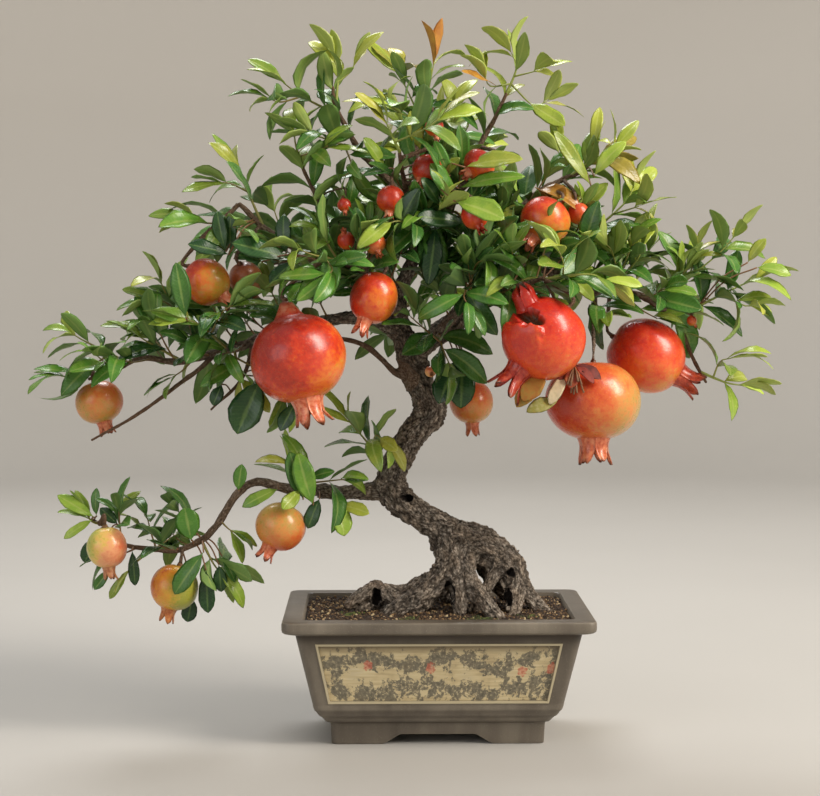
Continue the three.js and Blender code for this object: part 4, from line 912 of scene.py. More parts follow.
# Inner shoots: the share of a branch's length that they grow on, their spacing and their reach.
INNER_SHOOTS = {
    "left": (0.26, 0.98, 10, 48), "upper_left": (0.2, 0.95, 10, 48), "left_tower": (0.05, 0.5, 13, 40),
    "leader": (0.22, 0.9, 10, 48), "top_left": (0.1, 0.5, 15, 36), "top_right": (0.1, 0.6, 13, 40),
    "right": (0.2, 0.8, 9, 48), "right_tip": (0.1, 0.8, 16, 34), "right_shoulder": (0.1, 1.0, 11, 44),
    "upper_right": (0.15, 0.95, 10, 44), "back_left": (0.2, 1.0, 11, 46), "back_right": (0.2, 1.0, 11, 46),
    "back_top": (0.1, 0.9, 12, 44), "back_low": (0.25, 1.0, 12, 44), "front_left": (0.2, 1.0, 9, 46),
    "front_right": (0.2, 1.0, 9, 46), "front_top": (0.1, 1.0, 11, 40), "cascade": (0.56, 1.0, 15, 32),
}

# Twigs that carry leaves of their own: the share of the twig where they begin, and how far apart they are.
LEAFY_TWIGS = {
    "top_left": (0.3, 22), "left_tower": (0.25, 20), "top_right": (0.35, 22), "upper_right": (0.45, 22),
    "leader": (0.75, 20), "right_tip": (0.3, 16), "left_thin": (0.5, 22),
}

# The upper edge of the dense inner foliage, as x and z seen from the front.
DENSE_TOP_X = (-312, -273, -233, -194, -135, -90, -46, 3, 43, 82, 121, 161, 211, 261, 321)
DENSE_TOP_Z = (402, 441, 469, 490, 500, 520, 552, 590, 575, 560, 545, 525, 490, 461, 431)

# Open air that inner leaves keep out of, as lowest and highest x and z, seen from the front.
OPEN_AIR = [
    (-400, 60, 262, 346), (-70, 75, 120, 392), (-400, -330, 0, 700), (150, 400, 0, 330), (-400, 400, 0, 128),
]

FRUIT_ROOM = []
for fruit in FRUITS.values():
    at, down, r, h = np.array(fruit["at"], float), unit(fruit["crown"]), fruit["r"], fruit["h"]
    FRUIT_ROOM.append((at, max(r, h) + 2))
    FRUIT_ROOM.append((at + down * 1.25 * h, 0.36 * r + 2))
    if "neck" in fruit:
        FRUIT_ROOM.append((at - down * (h + 0.4 * fruit["neck"]), 0.2 * r + 2))
# Fruits that hang free in front of the leaves: no leaf stands between them and someone before the tree.
FREE_FRUITS = [
    FRUITS[f"fruit_{name}"]
    for name in (
        "left_big", "centre_left", "left_upper", "left_tip", "cascade_near", "cascade_tip", "split", "right_red",
        "right_low", "behind_trunk",
    )
]
VIEWER = np.array(CAMERA_AT) - TREE_SHIFT
FREE_AT = np.array([fruit["at"] for fruit in FREE_FRUITS], float)
FREE_RADIUS = np.array([fruit["r"] for fruit in FREE_FRUITS]) - 1.5
FREE_CROWNS = [unit(fruit["crown"]) * fruit["h"] * 1.3 for fruit in FREE_FRUITS]
FREE_AT = np.concatenate([FREE_AT, FREE_AT + FREE_CROWNS])
FREE_RADIUS = np.concatenate([FREE_RADIUS, 0.34 * FREE_RADIUS])
ROOM_AT, ROOM_RADIUS = (np.array(part) for part in zip(*FRUIT_ROOM))


def hides_fruit(place):
    """True when a place lies between the viewer and a fruit that hangs free."""
    sight = unit(place - VIEWER)
    reach = FREE_AT - VIEWER
    along = reach @ sight
    off = np.linalg.norm(reach - along[:, None] * sight, axis=1)
    return ((off < FREE_RADIUS) & (along > length_of(place - VIEWER))).any()


def stands_clear(foot, heading, face, length, arch):
    """True when the outer part of a leaf touches no fruit and no wood, and hides no fruit that hangs free."""
    for share in (0.35, 0.65, 1.0):
        place = foot + heading * length * share - face * length * arch * share**2
        if hides_fruit(place) or place[1] > BACK_LIMIT:
            return False
        if (np.linalg.norm(ROOM_AT - place, axis=1) < ROOM_RADIUS).any():
            return False
        hit = skeleton_tree.find(place)
        if hit[2] < SKELETON_RADII[hit[1]] + 1:
            return False
    return True


# Where a few leaves have turned ochre: x and z seen from the front, and how far they have turned.
AUTUMN_AT = np.array([(0, 691, 0.85), (51, 650, 0.8), (170, 575, 0.4), (112, 537, 0.7), (-11, 678, 0.3)])
AUTUMN_REACH = 14.0


class Foliage:
    """The stems and leaves of one piece."""

    def __init__(self):
        self.stems = Shape()
        self.leaves = []

    def add_leaf(self, foot, heading, face, length, seed, index, youth):
        """Sets one leaf, turned aside where something is in its way."""
        draw = [chance(seed, index + 40 * k) for k in range(8)]
        arch = 0.12 + 0.6 * draw[0] ** 1.3
        for pitch, roll in LEAF_TRIES:
            side = unit(np.cross(face, heading))
            ahead = turned(heading, side, -math.radians(pitch))
            up = unit(face - ahead * np.dot(face, ahead))
            up = turned(up, ahead, math.radians(roll))
            if stands_clear(foot, ahead, up, length, arch):
                break
        else:
            return
        middle = foot + ahead * length * 0.5
        near = np.hypot(*(AUTUMN_AT[:, :2] - middle[[0, 2]]).T) < AUTUMN_REACH
        self.leaves.append(
            dict(
                foot=foot, heading=ahead, face=up, size=length * MM, youth=youth, arch=arch, tint=draw[1],
                breadth=0.28 + 0.14 * draw[2], fold=0.1 + 0.4 * draw[3], sickle=0.36 * (draw[4] - 0.5),
                roll=0.7 * (draw[5] - 0.5), autumn=(AUTUMN_AT[:, 2] * near).max(),
            )
        )

    def add_stem(self, points, seed, radius, youth, spacing=14.5, bare=8.0, size=1.0):
        """A stem with its leaves in opposite pairs, each pair turned a quarter from the one before."""
        line, _, along = spaced_curve(points, 4)
        taper = radius + (STEM_TIP_RADIUS - radius) * along / along[-1]
        self.stems.add(*tube(line, taper, 6), youth=0.25 + 0.75 * youth)
        self.add_pairs(line, along, seed, youth, spacing, bare, size, True)

    def add_pairs(self, line, along, seed, youth, spacing, bare, size, end_leaf):
        """Leaves along a stem, from its tip back to its bare foot."""
        tangents, sides, _ = frames_along(line)
        length = along[-1]
        spin = math.pi / 2 * chance(seed, SPIN_DRAW)

        def stand(back, turn, opening, index, share, age):
            place, tangent, side = (
                np.array([np.interp(length - back, along, rows[:, k]) for k in range(3)])
                for rows in (line, tangents, sides)
            )
            tangent, side = unit(tangent), unit(side)
            side = turned(unit(side - tangent * np.dot(side, tangent)), tangent, turn)
            tilt = opening + 0.35 * (chance(seed, index) - 0.5)
            heading = unit(tangent * math.cos(tilt) + side * math.sin(tilt) + np.array([0, 0, 0.12]))
            aim = 2 * math.pi * chance(seed, index + FACING_DRAW)
            face = np.array([0.8 * math.cos(aim), 0.8 * math.sin(aim) - 0.15, 0.95]) + 0.4 * tangent
            face = unit(face - heading * np.dot(face, heading))
            long = LEAF_LENGTH * size * share * (1 + 0.2 * (2 * chance(seed, index + LENGTH_DRAW) - 1))
            self.add_leaf(place, heading, face, long, seed, index, age)

        if end_leaf:
            stand(0.5, spin, 0.1, 0, 0.78, youth)
        pairs = max(1, int((length - bare - 5) / spacing + 0.6))
        for pair in range(pairs):
            back = min(5 + pair * spacing, 0.92 * length)
            opening = 0.5 + 0.16 * min(pair, 4)
            share = (0.82, 0.96, 1.04, 1.0, 0.94)[min(pair, 4)]
            age = youth * math.exp(-0.5 * pair) + 0.26 * chance(seed, 300 + pair)
            for half in (0, 1):
                turn = spin + (pair % 2) * math.pi / 2 + half * math.pi + 0.3 * (chance(seed, 200 + pair) - 0.5)
                stand(back, turn, opening, 2 * pair + half + 1, share, min(age, 1.0))

    def set_leaf(self, foot, tip, breadth, youth, seed, twig=True):
        """One leaf between two places, facing forward and up, on a short twig of its own."""
        foot, tip = np.array(foot, float), np.array(tip, float)
        heading = unit(tip - foot)
        face = np.array([0.5 * (chance(seed, 1) - 0.5), -0.8, 0.55])
        face = unit(face - heading * np.dot(face, heading))
        arch = 0.1 + 0.26 * chance(seed, 2)
        wood = nearest_wood(foot)
        if twig and length_of(wood - foot) > 2:
            bend = (wood + foot) / 2 + [0, 0, 0.12 * length_of(wood - foot)]
            self.stems.add(*tube(spaced_curve([wood, bend, foot], 4)[0], 0.8, 6), youth=0.4)
        self.leaves.append(
            dict(
                foot=foot, heading=heading, face=face, size=1.06 * length_of(tip - foot) * MM, youth=youth, arch=arch,
                tint=chance(seed, 3), breadth=breadth, fold=0.12 + 0.2 * chance(seed, 4), sickle=0.06, roll=0.1,
                autumn=0.0,
            )
        )

    def piece(self, name, blade=None):
        """Grows the leaves out of their feet and returns the finished piece."""
        keys = ("size", "youth", "arch", "tint", "breadth", "fold", "sickle", "roll", "autumn")
        numbers = {key: np.array([leaf[key] for leaf in self.leaves]) for key in keys}
        self.stems.add([leaf["foot"] for leaf in self.leaves], [], is_leaf=1.0, **numbers)
        mesh = self.stems.mesh(name)
        for key in ("heading", "face"):
            rows = np.zeros((len(mesh.vertices), 3), np.float32)
            rows[-len(self.leaves) :] = [leaf[key] for leaf in self.leaves]
            note(mesh, key, rows)
        piece = new_object(name, mesh)
        with_nodes(piece, leafy, leaf=blade or glossy_leaf, stem=shoot_skin)
        baked(piece).data.shade_smooth()
        return piece


def stem_points(root, bend, tip):
    """A stem stops short of its tip by the reach of its end leaf."""
    bend, last = np.array(bend, float), np.array(tip, float) - np.array(bend, float)
    reach = length_of(last)
    return [root, bend, bend + last / reach * max(0.5 * reach, reach - LEAF_REACH)]


def nearest_wood(place):
    return SKELETON[skeleton_tree.find(place)[1]]


def in_open_air(place):
    if place[2] > np.interp(place[0], DENSE_TOP_X, DENSE_TOP_Z):
        return True
    return any(x0 < place[0] < x1 and z0 < place[2] < z1 for x0, x1, z0, z1 in OPEN_AIR)


# Shoots whose leaves are smaller than the rest, and by how much.
SMALL_LEAVED = {"cascade_tip": 0.76, "cascade_low": 0.8}

# painted shade: shoots further left than this, and those named in SHADED, have their leaves painted darker
SHADY_SIDE = -130  # the darker shoots are further left than this
SHADED = ("centre_front", "centre_low")

glossy_leaf = leaf_material()
shoot_skin = shoot_bark_material()
leafy = leafy_shoot()

for order, (name, stems) in enumerate(SHOOTS.items()):
    foliage = Foliage()
    main = stem_points(nearest_wood(stems[0][0]), *stems[0][1:])
    x, _, z = stems[0][2]
    # painted light and shade for where the shoot stands
    sunny = SUNNY * np.clip(max(z - SUNNY_HEIGHT, x - SUNNY_SIDE) / SUNNY_BAND, 0, 1)
    if name in SHADED:
        sunny = DEEP_SHADE
    elif x < SHADY_SIDE:
        sunny = SHADY
    size = SMALL_LEAVED.get(name, 1.0)
    foliage.add_stem(main, 10 * order, STEM_BASE_RADIUS, 0.84 + sunny, size=size)
    line = spaced_curve(main, 2)[0]
    joints = [line[int(share * (len(line) - 1))] for share in FORK_PLACES]
    for fork, (start, bend, tip) in enumerate(stems[1:], 1):
        root = min(joints, key=lambda joint: length_of(joint - np.array(start)))
        foliage.add_stem(stem_points(root, bend, tip), 10 * order + fork, FORK_BASE_RADIUS, 0.7 + sunny, size=size)
    piece = foliage.piece(f"shoot_{name}")
    hand_over(piece, "leaf", f"leaves_{name}")

for order, (name, (first, last, spacing, reach)) in enumerate(INNER_SHOOTS.items()):
    foliage = Foliage()
    # painted light: the inner shoots on the right have their leaves painted paler
    sunny = 0.16 * name.startswith("right")
    line, _, along = spaced_curve(BRANCHES[name], 2)
    tangents, sides, others = frames_along(line)
    spacing *= INNER_SPREAD
    for number in range(int((last - first) * along[-1] / spacing)):
        seed = 1000 + 60 * order + number
        at = (first + (number + chance(seed, 1)) * spacing / along[-1]) * along[-1]
        index = min(int(at / along[-1] * (len(line) - 1)), len(line) - 1)
        angle = 2.4 * number + 0.8 * chance(seed, 2)
        out = math.cos(angle) * sides[index] + math.sin(angle) * others[index]
        way = unit(out + 0.6 * tangents[index] + np.array([0, -0.1, 0.5]))
        long = reach * (0.65 + 0.5 * chance(seed, 3))
        bend = line[index] + way * long * 0.5 + np.array([0, 0, 0.04 * long])
        tip = line[index] + way * long + np.array([0, 0, 0.2 * long])
        if in_open_air(tip) or in_open_air(bend):
            continue
        youth = 0.25 + sunny + 0.35 * chance(seed, 4)
        foliage.add_stem([line[index], bend, tip], seed, INNER_STEM_RADIUS, youth, size=0.94)
    if name in LEAFY_TWIGS:
        begin, apart = LEAFY_TWIGS[name]
        start = int(begin * (len(line) - 1))
        foliage.add_pairs(line[start:], along[start:] - along[start], 4000 + order, 0.6, apart, 4, 1.0, False)
    if foliage.leaves:
        hand_over(foliage.piece(f"inner_{name}"), "leaf")

# Single leaves, each from its foot to its tip, with its width as a share of its length, and its youth.
SINGLE_LEAVES = [
    ([-131, -40, 238], [-142, -52, 281], 0.42, 0.3), ([-121, -44, 233], [-136, -60, 279], 0.4, 0.6),
    ([-155, -36, 248], [-187, -52, 236], 0.34, 0.62), ([-126, -36, 258], [-103, -44, 268], 0.42, 0.35),
    ([-134, -46, 248], [-147, -66, 233], 0.5, 0.8), ([-115, -40, 239], [-126, -50, 213], 0.5, 0.12),
    ([-98, -40, 234], [-88, -52, 207], 0.62, 0.82), ([-95, -36, 232], [-68, -46, 228], 0.5, 0.9),
    ([-194, -36, 246], [-192, -44, 270], 0.5, 0.5), ([-227, -50, 188], [-254, -62, 151], 0.4, 0.35),
    ([-240, -34, 197], [-246, -44, 227], 0.72, 0.5), ([-226, -34, 168], [-224, -44, 129], 0.4, 0.05),
    ([-214, -30, 173], [-211, -36, 148], 0.52, 0.08), ([-211, -28, 181], [-196, -34, 159], 0.36, 0.3),
    ([-243, 0, 136], [-247, -6, 112], 0.6, 0.02), ([-171, -60, 355], [-190, -84, 311], 0.58, 0.1),
    ([-209, -40, 350], [-217, -48, 332], 0.6, 0.05), ([-137, -60, 334], [-150, -70, 309], 0.5, 0.08),
    ([18, -24, 373], [3, -46, 336], 0.52, 0.04), ([24, -20, 373], [24, -44, 333], 0.56, 0.08),
    ([313, -20, 463], [344, -30, 462], 0.46, 0.75), ([304, -20, 468], [317, -26, 492], 0.4, 0.8),
    ([25, -62, 558], [73, -84, 571], 0.36, 0.85), ([19, -60, 538], [72, -86, 558], 0.26, 0.62),
    ([13, -62, 524], [-3, -84, 557], 0.45, 0.5), ([11, -56, 550], [-3, -70, 579], 0.34, 0.5),
    ([15, -88, 524], [58, -108, 514], 0.5, 0.7), ([45, -66, 475], [67, -92, 511], 0.42, 0.3),
    ([25, -66, 505], [-16, -90, 511], 0.42, 0.06), ([-41, -66, 492], [-27, -90, 535], 0.4, 0.06),
    ([2, -66, 521], [-13, -84, 544], 0.45, 0.1), ([-3, -64, 502], [-8, -88, 452], 0.34, 0.02),
    ([-70, -66, 484], [-80, -86, 513], 0.4, 0.35), ([43, -66, 469], [53, -92, 441], 0.4, 0.2),
    ([105, -66, 472], [125, -92, 491], 0.5, 0.3), ([140, -60, 478], [142, -84, 520], 0.4, 0.3),
    ([65, -72, 500], [91, -100, 505], 0.3, 0.42), ([-17, -40, 576], [-27, -56, 608], 0.42, 0.85),
    ([-51, -40, 558], [-69, -56, 584], 0.4, 0.85), ([148, -36, 542], [114, -54, 590], 0.24, 0.74),
    ([151, -36, 551], [172, -50, 586], 0.36, 0.92), ([-336, -24, 219], [-369, -30, 241], 0.34, 0.8),
    ([-337, -24, 217], [-364, -34, 202], 0.3, 0.85), ([-334, -22, 220], [-337, -26, 246], 0.34, 0.4),
    ([-313, -24, 212], [-328, -30, 228], 0.5, 0.12), ([-338, 4, 196], [-349, 2, 171], 0.58, 0.05),
    ([-322, -20, 167], [-335, -28, 149], 0.42, 0.35), ([-299, -26, 187], [-295, -32, 152], 0.3, 0.05),
    ([-200, -62, 475], [-233, -78, 486], 0.4, 0.06), ([-203, -58, 478], [-214, -66, 514], 0.36, 0.1),
    ([-199, -50, 478], [-201, -60, 511], 0.4, 0.12), ([-143, -70, 471], [-190, -88, 487], 0.4, 0.15),
    ([-139, -66, 468], [-158, -80, 450], 0.5, 0.04), ([-146, -56, 476], [-152, -66, 510], 0.44, 0.08),
    ([-168, -70, 468], [-185, -84, 476], 0.4, 0.2), ([-240, -74, 415], [-247, -92, 462], 0.36, 0.3),
]
foliage = Foliage()
for order, leaf in enumerate(SINGLE_LEAVES):
    foliage.set_leaf(*leaf, 7000 + order)
hand_over(foliage.piece("single_leaves"), "leaf")


def dried_petal_material():
    """What is left of a flower: papery petals, cream where they are thin and brown-red at the cup."""
    material, add = new_material("dried_petal")
    cloud = add("TexNoise", add("TexCoord", output="Object"), Scale=240.0, Detail=3.0)
    uneven = add("Math MULTIPLY_ADD", cloud, 0.4, -0.2)
    dryness = add("Math ADD", add("Attribute youth", output="Fac"), uneven, use_clamp=True)
    browns = [(0.0, "51160f"), (0.25, "8e3020"), (0.5, "a8752c"), (0.7, "83803a"), (1.0, "cfbf9c")]
    bump = add("Bump", Height=cloud, Distance=0.0004, Strength=0.5)
    return surfaced(material, Base_Color=add("ValToRGB", dryness, stops=browns), Roughness=0.7, Normal=bump)


# A withered flower where two fruits meet: foot, tip, breadth and place on the petals' scale of colour.
FLOWER_CUP = np.array([126, -101, 370])
FLOWER_PARTS = [
    ([97, -108, 366], [78, -128, 345], 0.62, 0.5), ([92, -106, 358], [73, -124, 338], 0.5, 0.56),
    ([112, -108, 340], [84, -126, 334], 0.42, 0.72), ([119, -106, 364], [102, -126, 342], 0.36, 1.0),
    ([127, -100, 371], [150, -112, 365], 0.46, 0.04), ([127, -102, 370], [144, -116, 361], 0.4, 0.14),
    ([125, -102, 370], [112, -116, 362], 0.5, 0.2), ([125, -103, 369], [122, -122, 356], 0.6, 0.3),
]
foliage = Foliage()
stalk = [nearest_wood(FLOWER_CUP), FLOWER_CUP + [4, 6, 22], FLOWER_CUP]
foliage.stems.add(*tube(spaced_curve(stalk, 4)[0], 1.1, 6), youth=0.1)
for middle in ([97, -106, 366], [92, -104, 358], [112, -106, 340]):
    line = spaced_curve([FLOWER_CUP, (FLOWER_CUP + middle) / 2 + [0, 3, 0], middle], 4)[0]
    foliage.stems.add(*tube(line, 0.7, 6), youth=0.3)
for order, part in enumerate(FLOWER_PARTS):
    foliage.set_leaf(*part, 7100 + order, False)
    foliage.leaves[-1]["arch"] = 0.32
for number in range(16):
    across, ahead, down = (chance(7200 + k, number) for k in range(3))
    fan = np.array([16 * (across - 0.5), -13 - 6 * ahead, -12 - 14 * down])
    line = np.array([FLOWER_CUP, FLOWER_CUP + 0.5 * fan + [0, -3, 2], FLOWER_CUP + fan])
    foliage.stems.add(*tube(line, [0.5, 0.45, 1.0], 5), youth=0.3)
hand_over(foliage.piece("withered_flower", dried_petal_material()), "leaf")


# ---------------------------------------------------------------- fruits

# Skins from the shaded side to the sunny side, then the crown's own three colours.
SKIN_COLOURS = {
    "red": ("c59a3c", "dc7026", "c93a1e", "9e2217", "b54a30", "cf6c4c", "dc9874"),
    "deep": ("d8893a", "de5a2a", "d03820", "b4221a", "8a2018", "a82c20", "c4573a"),
    "orange": ("b2954a", "d08642", "d0602e", "bc3a20", "ac4a30", "c86644", "d98c64"),
    "yellow": ("98993a", "d0a236", "d88a32", "bc5a2a", "9c4a2a", "b4663a", "c08a58"),
    "pale": ("b3b452", "deb860", "e4a070", "d4704a", "96553a", "b2704a", "c09468"),
    "dull": ("d9ab74", "cd8a58", "b87048", "945038", "6a3426", "8c4a34", "a5694a"),
}
SLOT_OF = {
    "red": "fruit_red", "deep": "fruit_deep_red", "orange": "fruit_orange",
    "yellow": "fruit_yellow", "pale": "fruit_pale", "dull": "fruit_dull",
}
# The way the sunny side looks, how red the fruit is on the whole, and how much redder there, from 0 to 1.
BLUSH = {
    "fruit_left_big": ((-0.65, -0.3, 0.62), 0.62, 0.42), "fruit_centre_left": ((-0.6, 0.3, 0.4), 0.62, 0.3),
    "fruit_left_upper": ((-0.8, 0.4, 0.3), 0.5, 0.4), "fruit_left_tip": ((0.3, 0.5, 0.9), 0.42, 0.3),
    "fruit_cascade_near": ((0.3, 0.4, -0.8), 0.38, 0.3), "fruit_cascade_tip": ((0.9, -0.2, -0.3), 0.42, 0.5),
    "fruit_cascade_low": ((-0.95, 0.1, 0.3), 0.42, 0.55), "fruit_right_low": ((-0.85, -0.2, 0.3), 0.54, 0.56),
    "fruit_right_red": ((-0.35, 0.1, 0.9), 0.55, 0.42), "fruit_split": ((-0.5, 0.3, 0.9), 0.74, 0.4),
    "fruit_right_upper": ((-0.3, 0.3, 0.8), 0.52, 0.36), "fruit_behind_trunk": ((-0.3, -0.3, 0.8), 0.45, 0.3),
}


def fruit_skin(tint):
    """Ripe pomegranate rind: waxy leather, clouded from gold to red, with pale pores and brown dry ends."""
    material, add = new_material(f"waxy_rind_{tint}")
    blush, dry, crown = (add(f"Attribute {name}", output="Fac") for name in ("blush", "dry", "crown"))
    place = add("TexCoord", output="Object")
    cloud = add("TexNoise", place, Scale=55.0, Detail=5.0, Roughness=0.6)
    mottle = add("TexNoise", place, Scale=260.0, Detail=4.0)
    shift = add("Math MULTIPLY", add("Math SUBTRACT", cloud, 0.5), 0.9)
    fine = add("Math MULTIPLY", add("Math SUBTRACT", mottle, 0.5), 0.6)
    ripe = add("Math ADD", blush, add("Math ADD", shift, fine), use_clamp=True)
    a, b, c, d, deep, middle, light = SKIN_COLOURS[tint]
    skin = add("ValToRGB", ripe, stops=[(0.05, a), (0.36, b), (0.64, c), (0.95, d)])
    # pores about 2.4 mm apart and brown spots about 7 mm apart
    pore = add("ValToRGB", add("TexVoronoi", place, Scale=420.0), stops=[(0.16, 1.0), (0.3, 0.0)])
    spot = add("ValToRGB", add("TexVoronoi", place, Scale=150.0), stops=[(0.06, 1.0), (0.11, 0.0)])
    skin = add("Mix RGBA", add("Math MULTIPLY", pore, 0.13), skin, "e2a560")
    skin = add("Mix RGBA", add("Math MULTIPLY", spot, 0.4), skin, "8a4a28")
    skin = add("Mix RGBA", add("ValToRGB", cloud, stops=[(0.64, 0.0), (0.8, 0.4)]), skin, "b07a45")
    skin = add("Mix RGBA", crown, skin, add("ValToRGB", mottle, stops=[(0.34, deep), (0.5, middle), (0.68, light)]))
    husk = add("ValToRGB", mottle, stops=[(0.3, "3d2417"), (0.6, "6f4527"), (0.8, "94663c")])
    skin = add("Mix RGBA", dry, skin, husk)
    rough = add("Math ADD", add("Math MULTIPLY_ADD", mottle, 0.18, 0.2), add("Math MULTIPLY", dry, 0.35))
    height = add("Math ADD", mottle, add("Math MULTIPLY", pore, -0.5))
    bump = add("Bump", Height=height, Distance=0.0004, Strength=0.35)
    return surfaced(
        material, Base_Color=skin, Roughness=rough, IOR=1.45, Coat_Weight=0.22, Coat_Roughness=0.22, Normal=bump
    )


def stood_up(places, fruit):
    """Turns a fruit drawn with its crown down so that the crown points its own way, and sets it in place."""
    turn = np.array(Vector((0, 0, -1)).rotation_difference(Vector(unit(fruit["crown"]))).to_matrix())
    return np.asarray(places) @ turn.T + fruit["at"]


def fruit_body(fruit, seed, stations, sides):
    """The round of the fruit with its soft ribs, and a neck at the stalk where it has one."""
    r, h, neck = fruit["r"], fruit["h"], fruit.get("neck", 0)
    ribs = 6 if r > 30 else 5
    u = np.linspace(0, 1, stations + 1)[1:-1]
    if neck:
        u = np.concatenate([np.linspace(0.012, 0.11, 12), u[u > 0.12]])
    theta = math.pi * u
    phi = np.arange(sides) * 2 * math.pi / sides
    radius = r * np.sin(theta) ** 0.9
    height = h * np.cos(theta)
    rib = 0.014 * np.cos(ribs * phi[None, :] + seed) * (0.3 + np.abs(np.cos(theta)))[:, None]
    lump = 0.02 * np.sin(phi[None, :] + 2 * seed) * np.sin(2 * theta + seed)[:, None]
    rings = radius[:, None] * (1 + rib + lump)
    spread = radius / r
    if neck:
        top = neck * np.clip((0.34 - spread) / 0.22, 0, 1) ** 1.25
    else:
        top = -0.05 * h * np.exp(-((spread / 0.3) ** 2))
    top = top * (theta < math.pi / 2)
    z = np.repeat((height + top)[:, None], sides, axis=1)
    places = np.stack([rings * np.cos(phi), rings * np.sin(phi), z], axis=2).reshape(-1, 3)
    # the rows run down from the stalk, so they are turned over to face outwards
    faces = [face[::-1] for face in closed_faces(len(u), sides)]
    return np.vstack([places, [0, 0, h * 0.99 + (neck or -0.05 * h)], [0, 0, -h]]), faces


def burst_rind(places, fruit):
    """Tears the rind open: a sunk cleft, and under it a ragged flap that stands off. Returns how torn it is."""
    away = places - fruit["at"]
    far = np.linalg.norm(away, axis=1)
    x, y, z = (away / far[:, None]).T
    front = np.clip(-y * 4, 0, 1)
    ragged = np.array([noise.noise(Vector(place * 0.21)) for place in places])
    level = z + 0.09 * ragged
    cleft = np.clip(1 - ((x + 0.4) / 0.34) ** 2 - ((level - 0.53 + 0.3 * (x + 0.4)) / 0.19) ** 2, 0, 1) * front
    under = np.clip((-0.12 - x + 0.1 * ragged) / 0.08, 0, 1) * np.clip((0.37 - level) / 0.04, 0, 1)
    flap = under * np.exp(-(np.clip(0.33 - z, 0, 1) / 0.38) ** 2) * front
    places += (away / far[:, None]) * (4.0 * flap - 15.0 * cleft**0.6)[:, None]
    return np.clip(cleft * 2.2, 0, 1), flap


def crown_petal(fruit, middle, lean, count, long, curl, columns=7, rows=10):
    """One lobe of the crown, with its share of the tube that the lobes spring from, as a closed thin shell."""
    r, h = fruit["r"], fruit["h"]
    v = np.linspace(0, 1, rows)
    stops = [0, 0.16, 0.34, 0.56, 0.8, 1]
    radius = r * np.interp(v, stops, [0.37, 0.315, 0.295, 0.3, 0.33 + 0.4 * curl, 0.35 + curl])
    z = -h * np.interp(v, stops, [0.9, 1.02, 1.15, 1.3, 1.3 + 0.15 * long, 1.3 + 0.29 * long])
    free = np.clip((v - 0.5) / 0.5, 0, 1)
    half = math.pi / count * np.where(free > 0, 0.94 * (1 - free) ** 0.5, 1.0)
    half[-1] = 0.03
    wall = r * np.interp(v, [0, 1], [0.07, 0.03])
    share = np.linspace(-1, 1, columns)
    angle = middle + lean * free[:, None] + share[None, :] * half[:, None]
    keel = 1 + 0.06 * (1 - share[None, :] ** 2) * (0.4 + free[:, None])
    skins = []
    for inner in (0, 1):
        ring = radius[:, None] * keel - inner * wall[:, None]
        skins.append(np.stack([ring * np.cos(angle), ring * np.sin(angle), np.repeat(z[:, None], columns, 1)], 2))
    places = np.concatenate(skins).reshape(-1, 3)
    half_count = rows * columns
    faces = [face[::-1] for face in grid_faces(rows, columns, False)]
    faces += [tuple(i + half_count for i in face[::-1]) for face in faces]
    for i in range(rows - 1):
        a, b = i * columns, (i + 1) * columns
        faces.append((a, b, b + half_count, a + half_count))
        a, b = a + columns - 1, b + columns - 1
        faces.append((b, a, a + half_count, b + half_count))
    for k in range(columns - 1):
        faces.append((k + 1, k, k + half_count, k + 1 + half_count))
        e = (rows - 1) * columns + k
        faces.append((e, e + 1, e + 1 + half_count, e + half_count))
    dry = np.tile(np.repeat(np.clip((v - 0.78) / 0.22, 0, 1) ** 1.5, columns), 2)
    return places, faces, dry


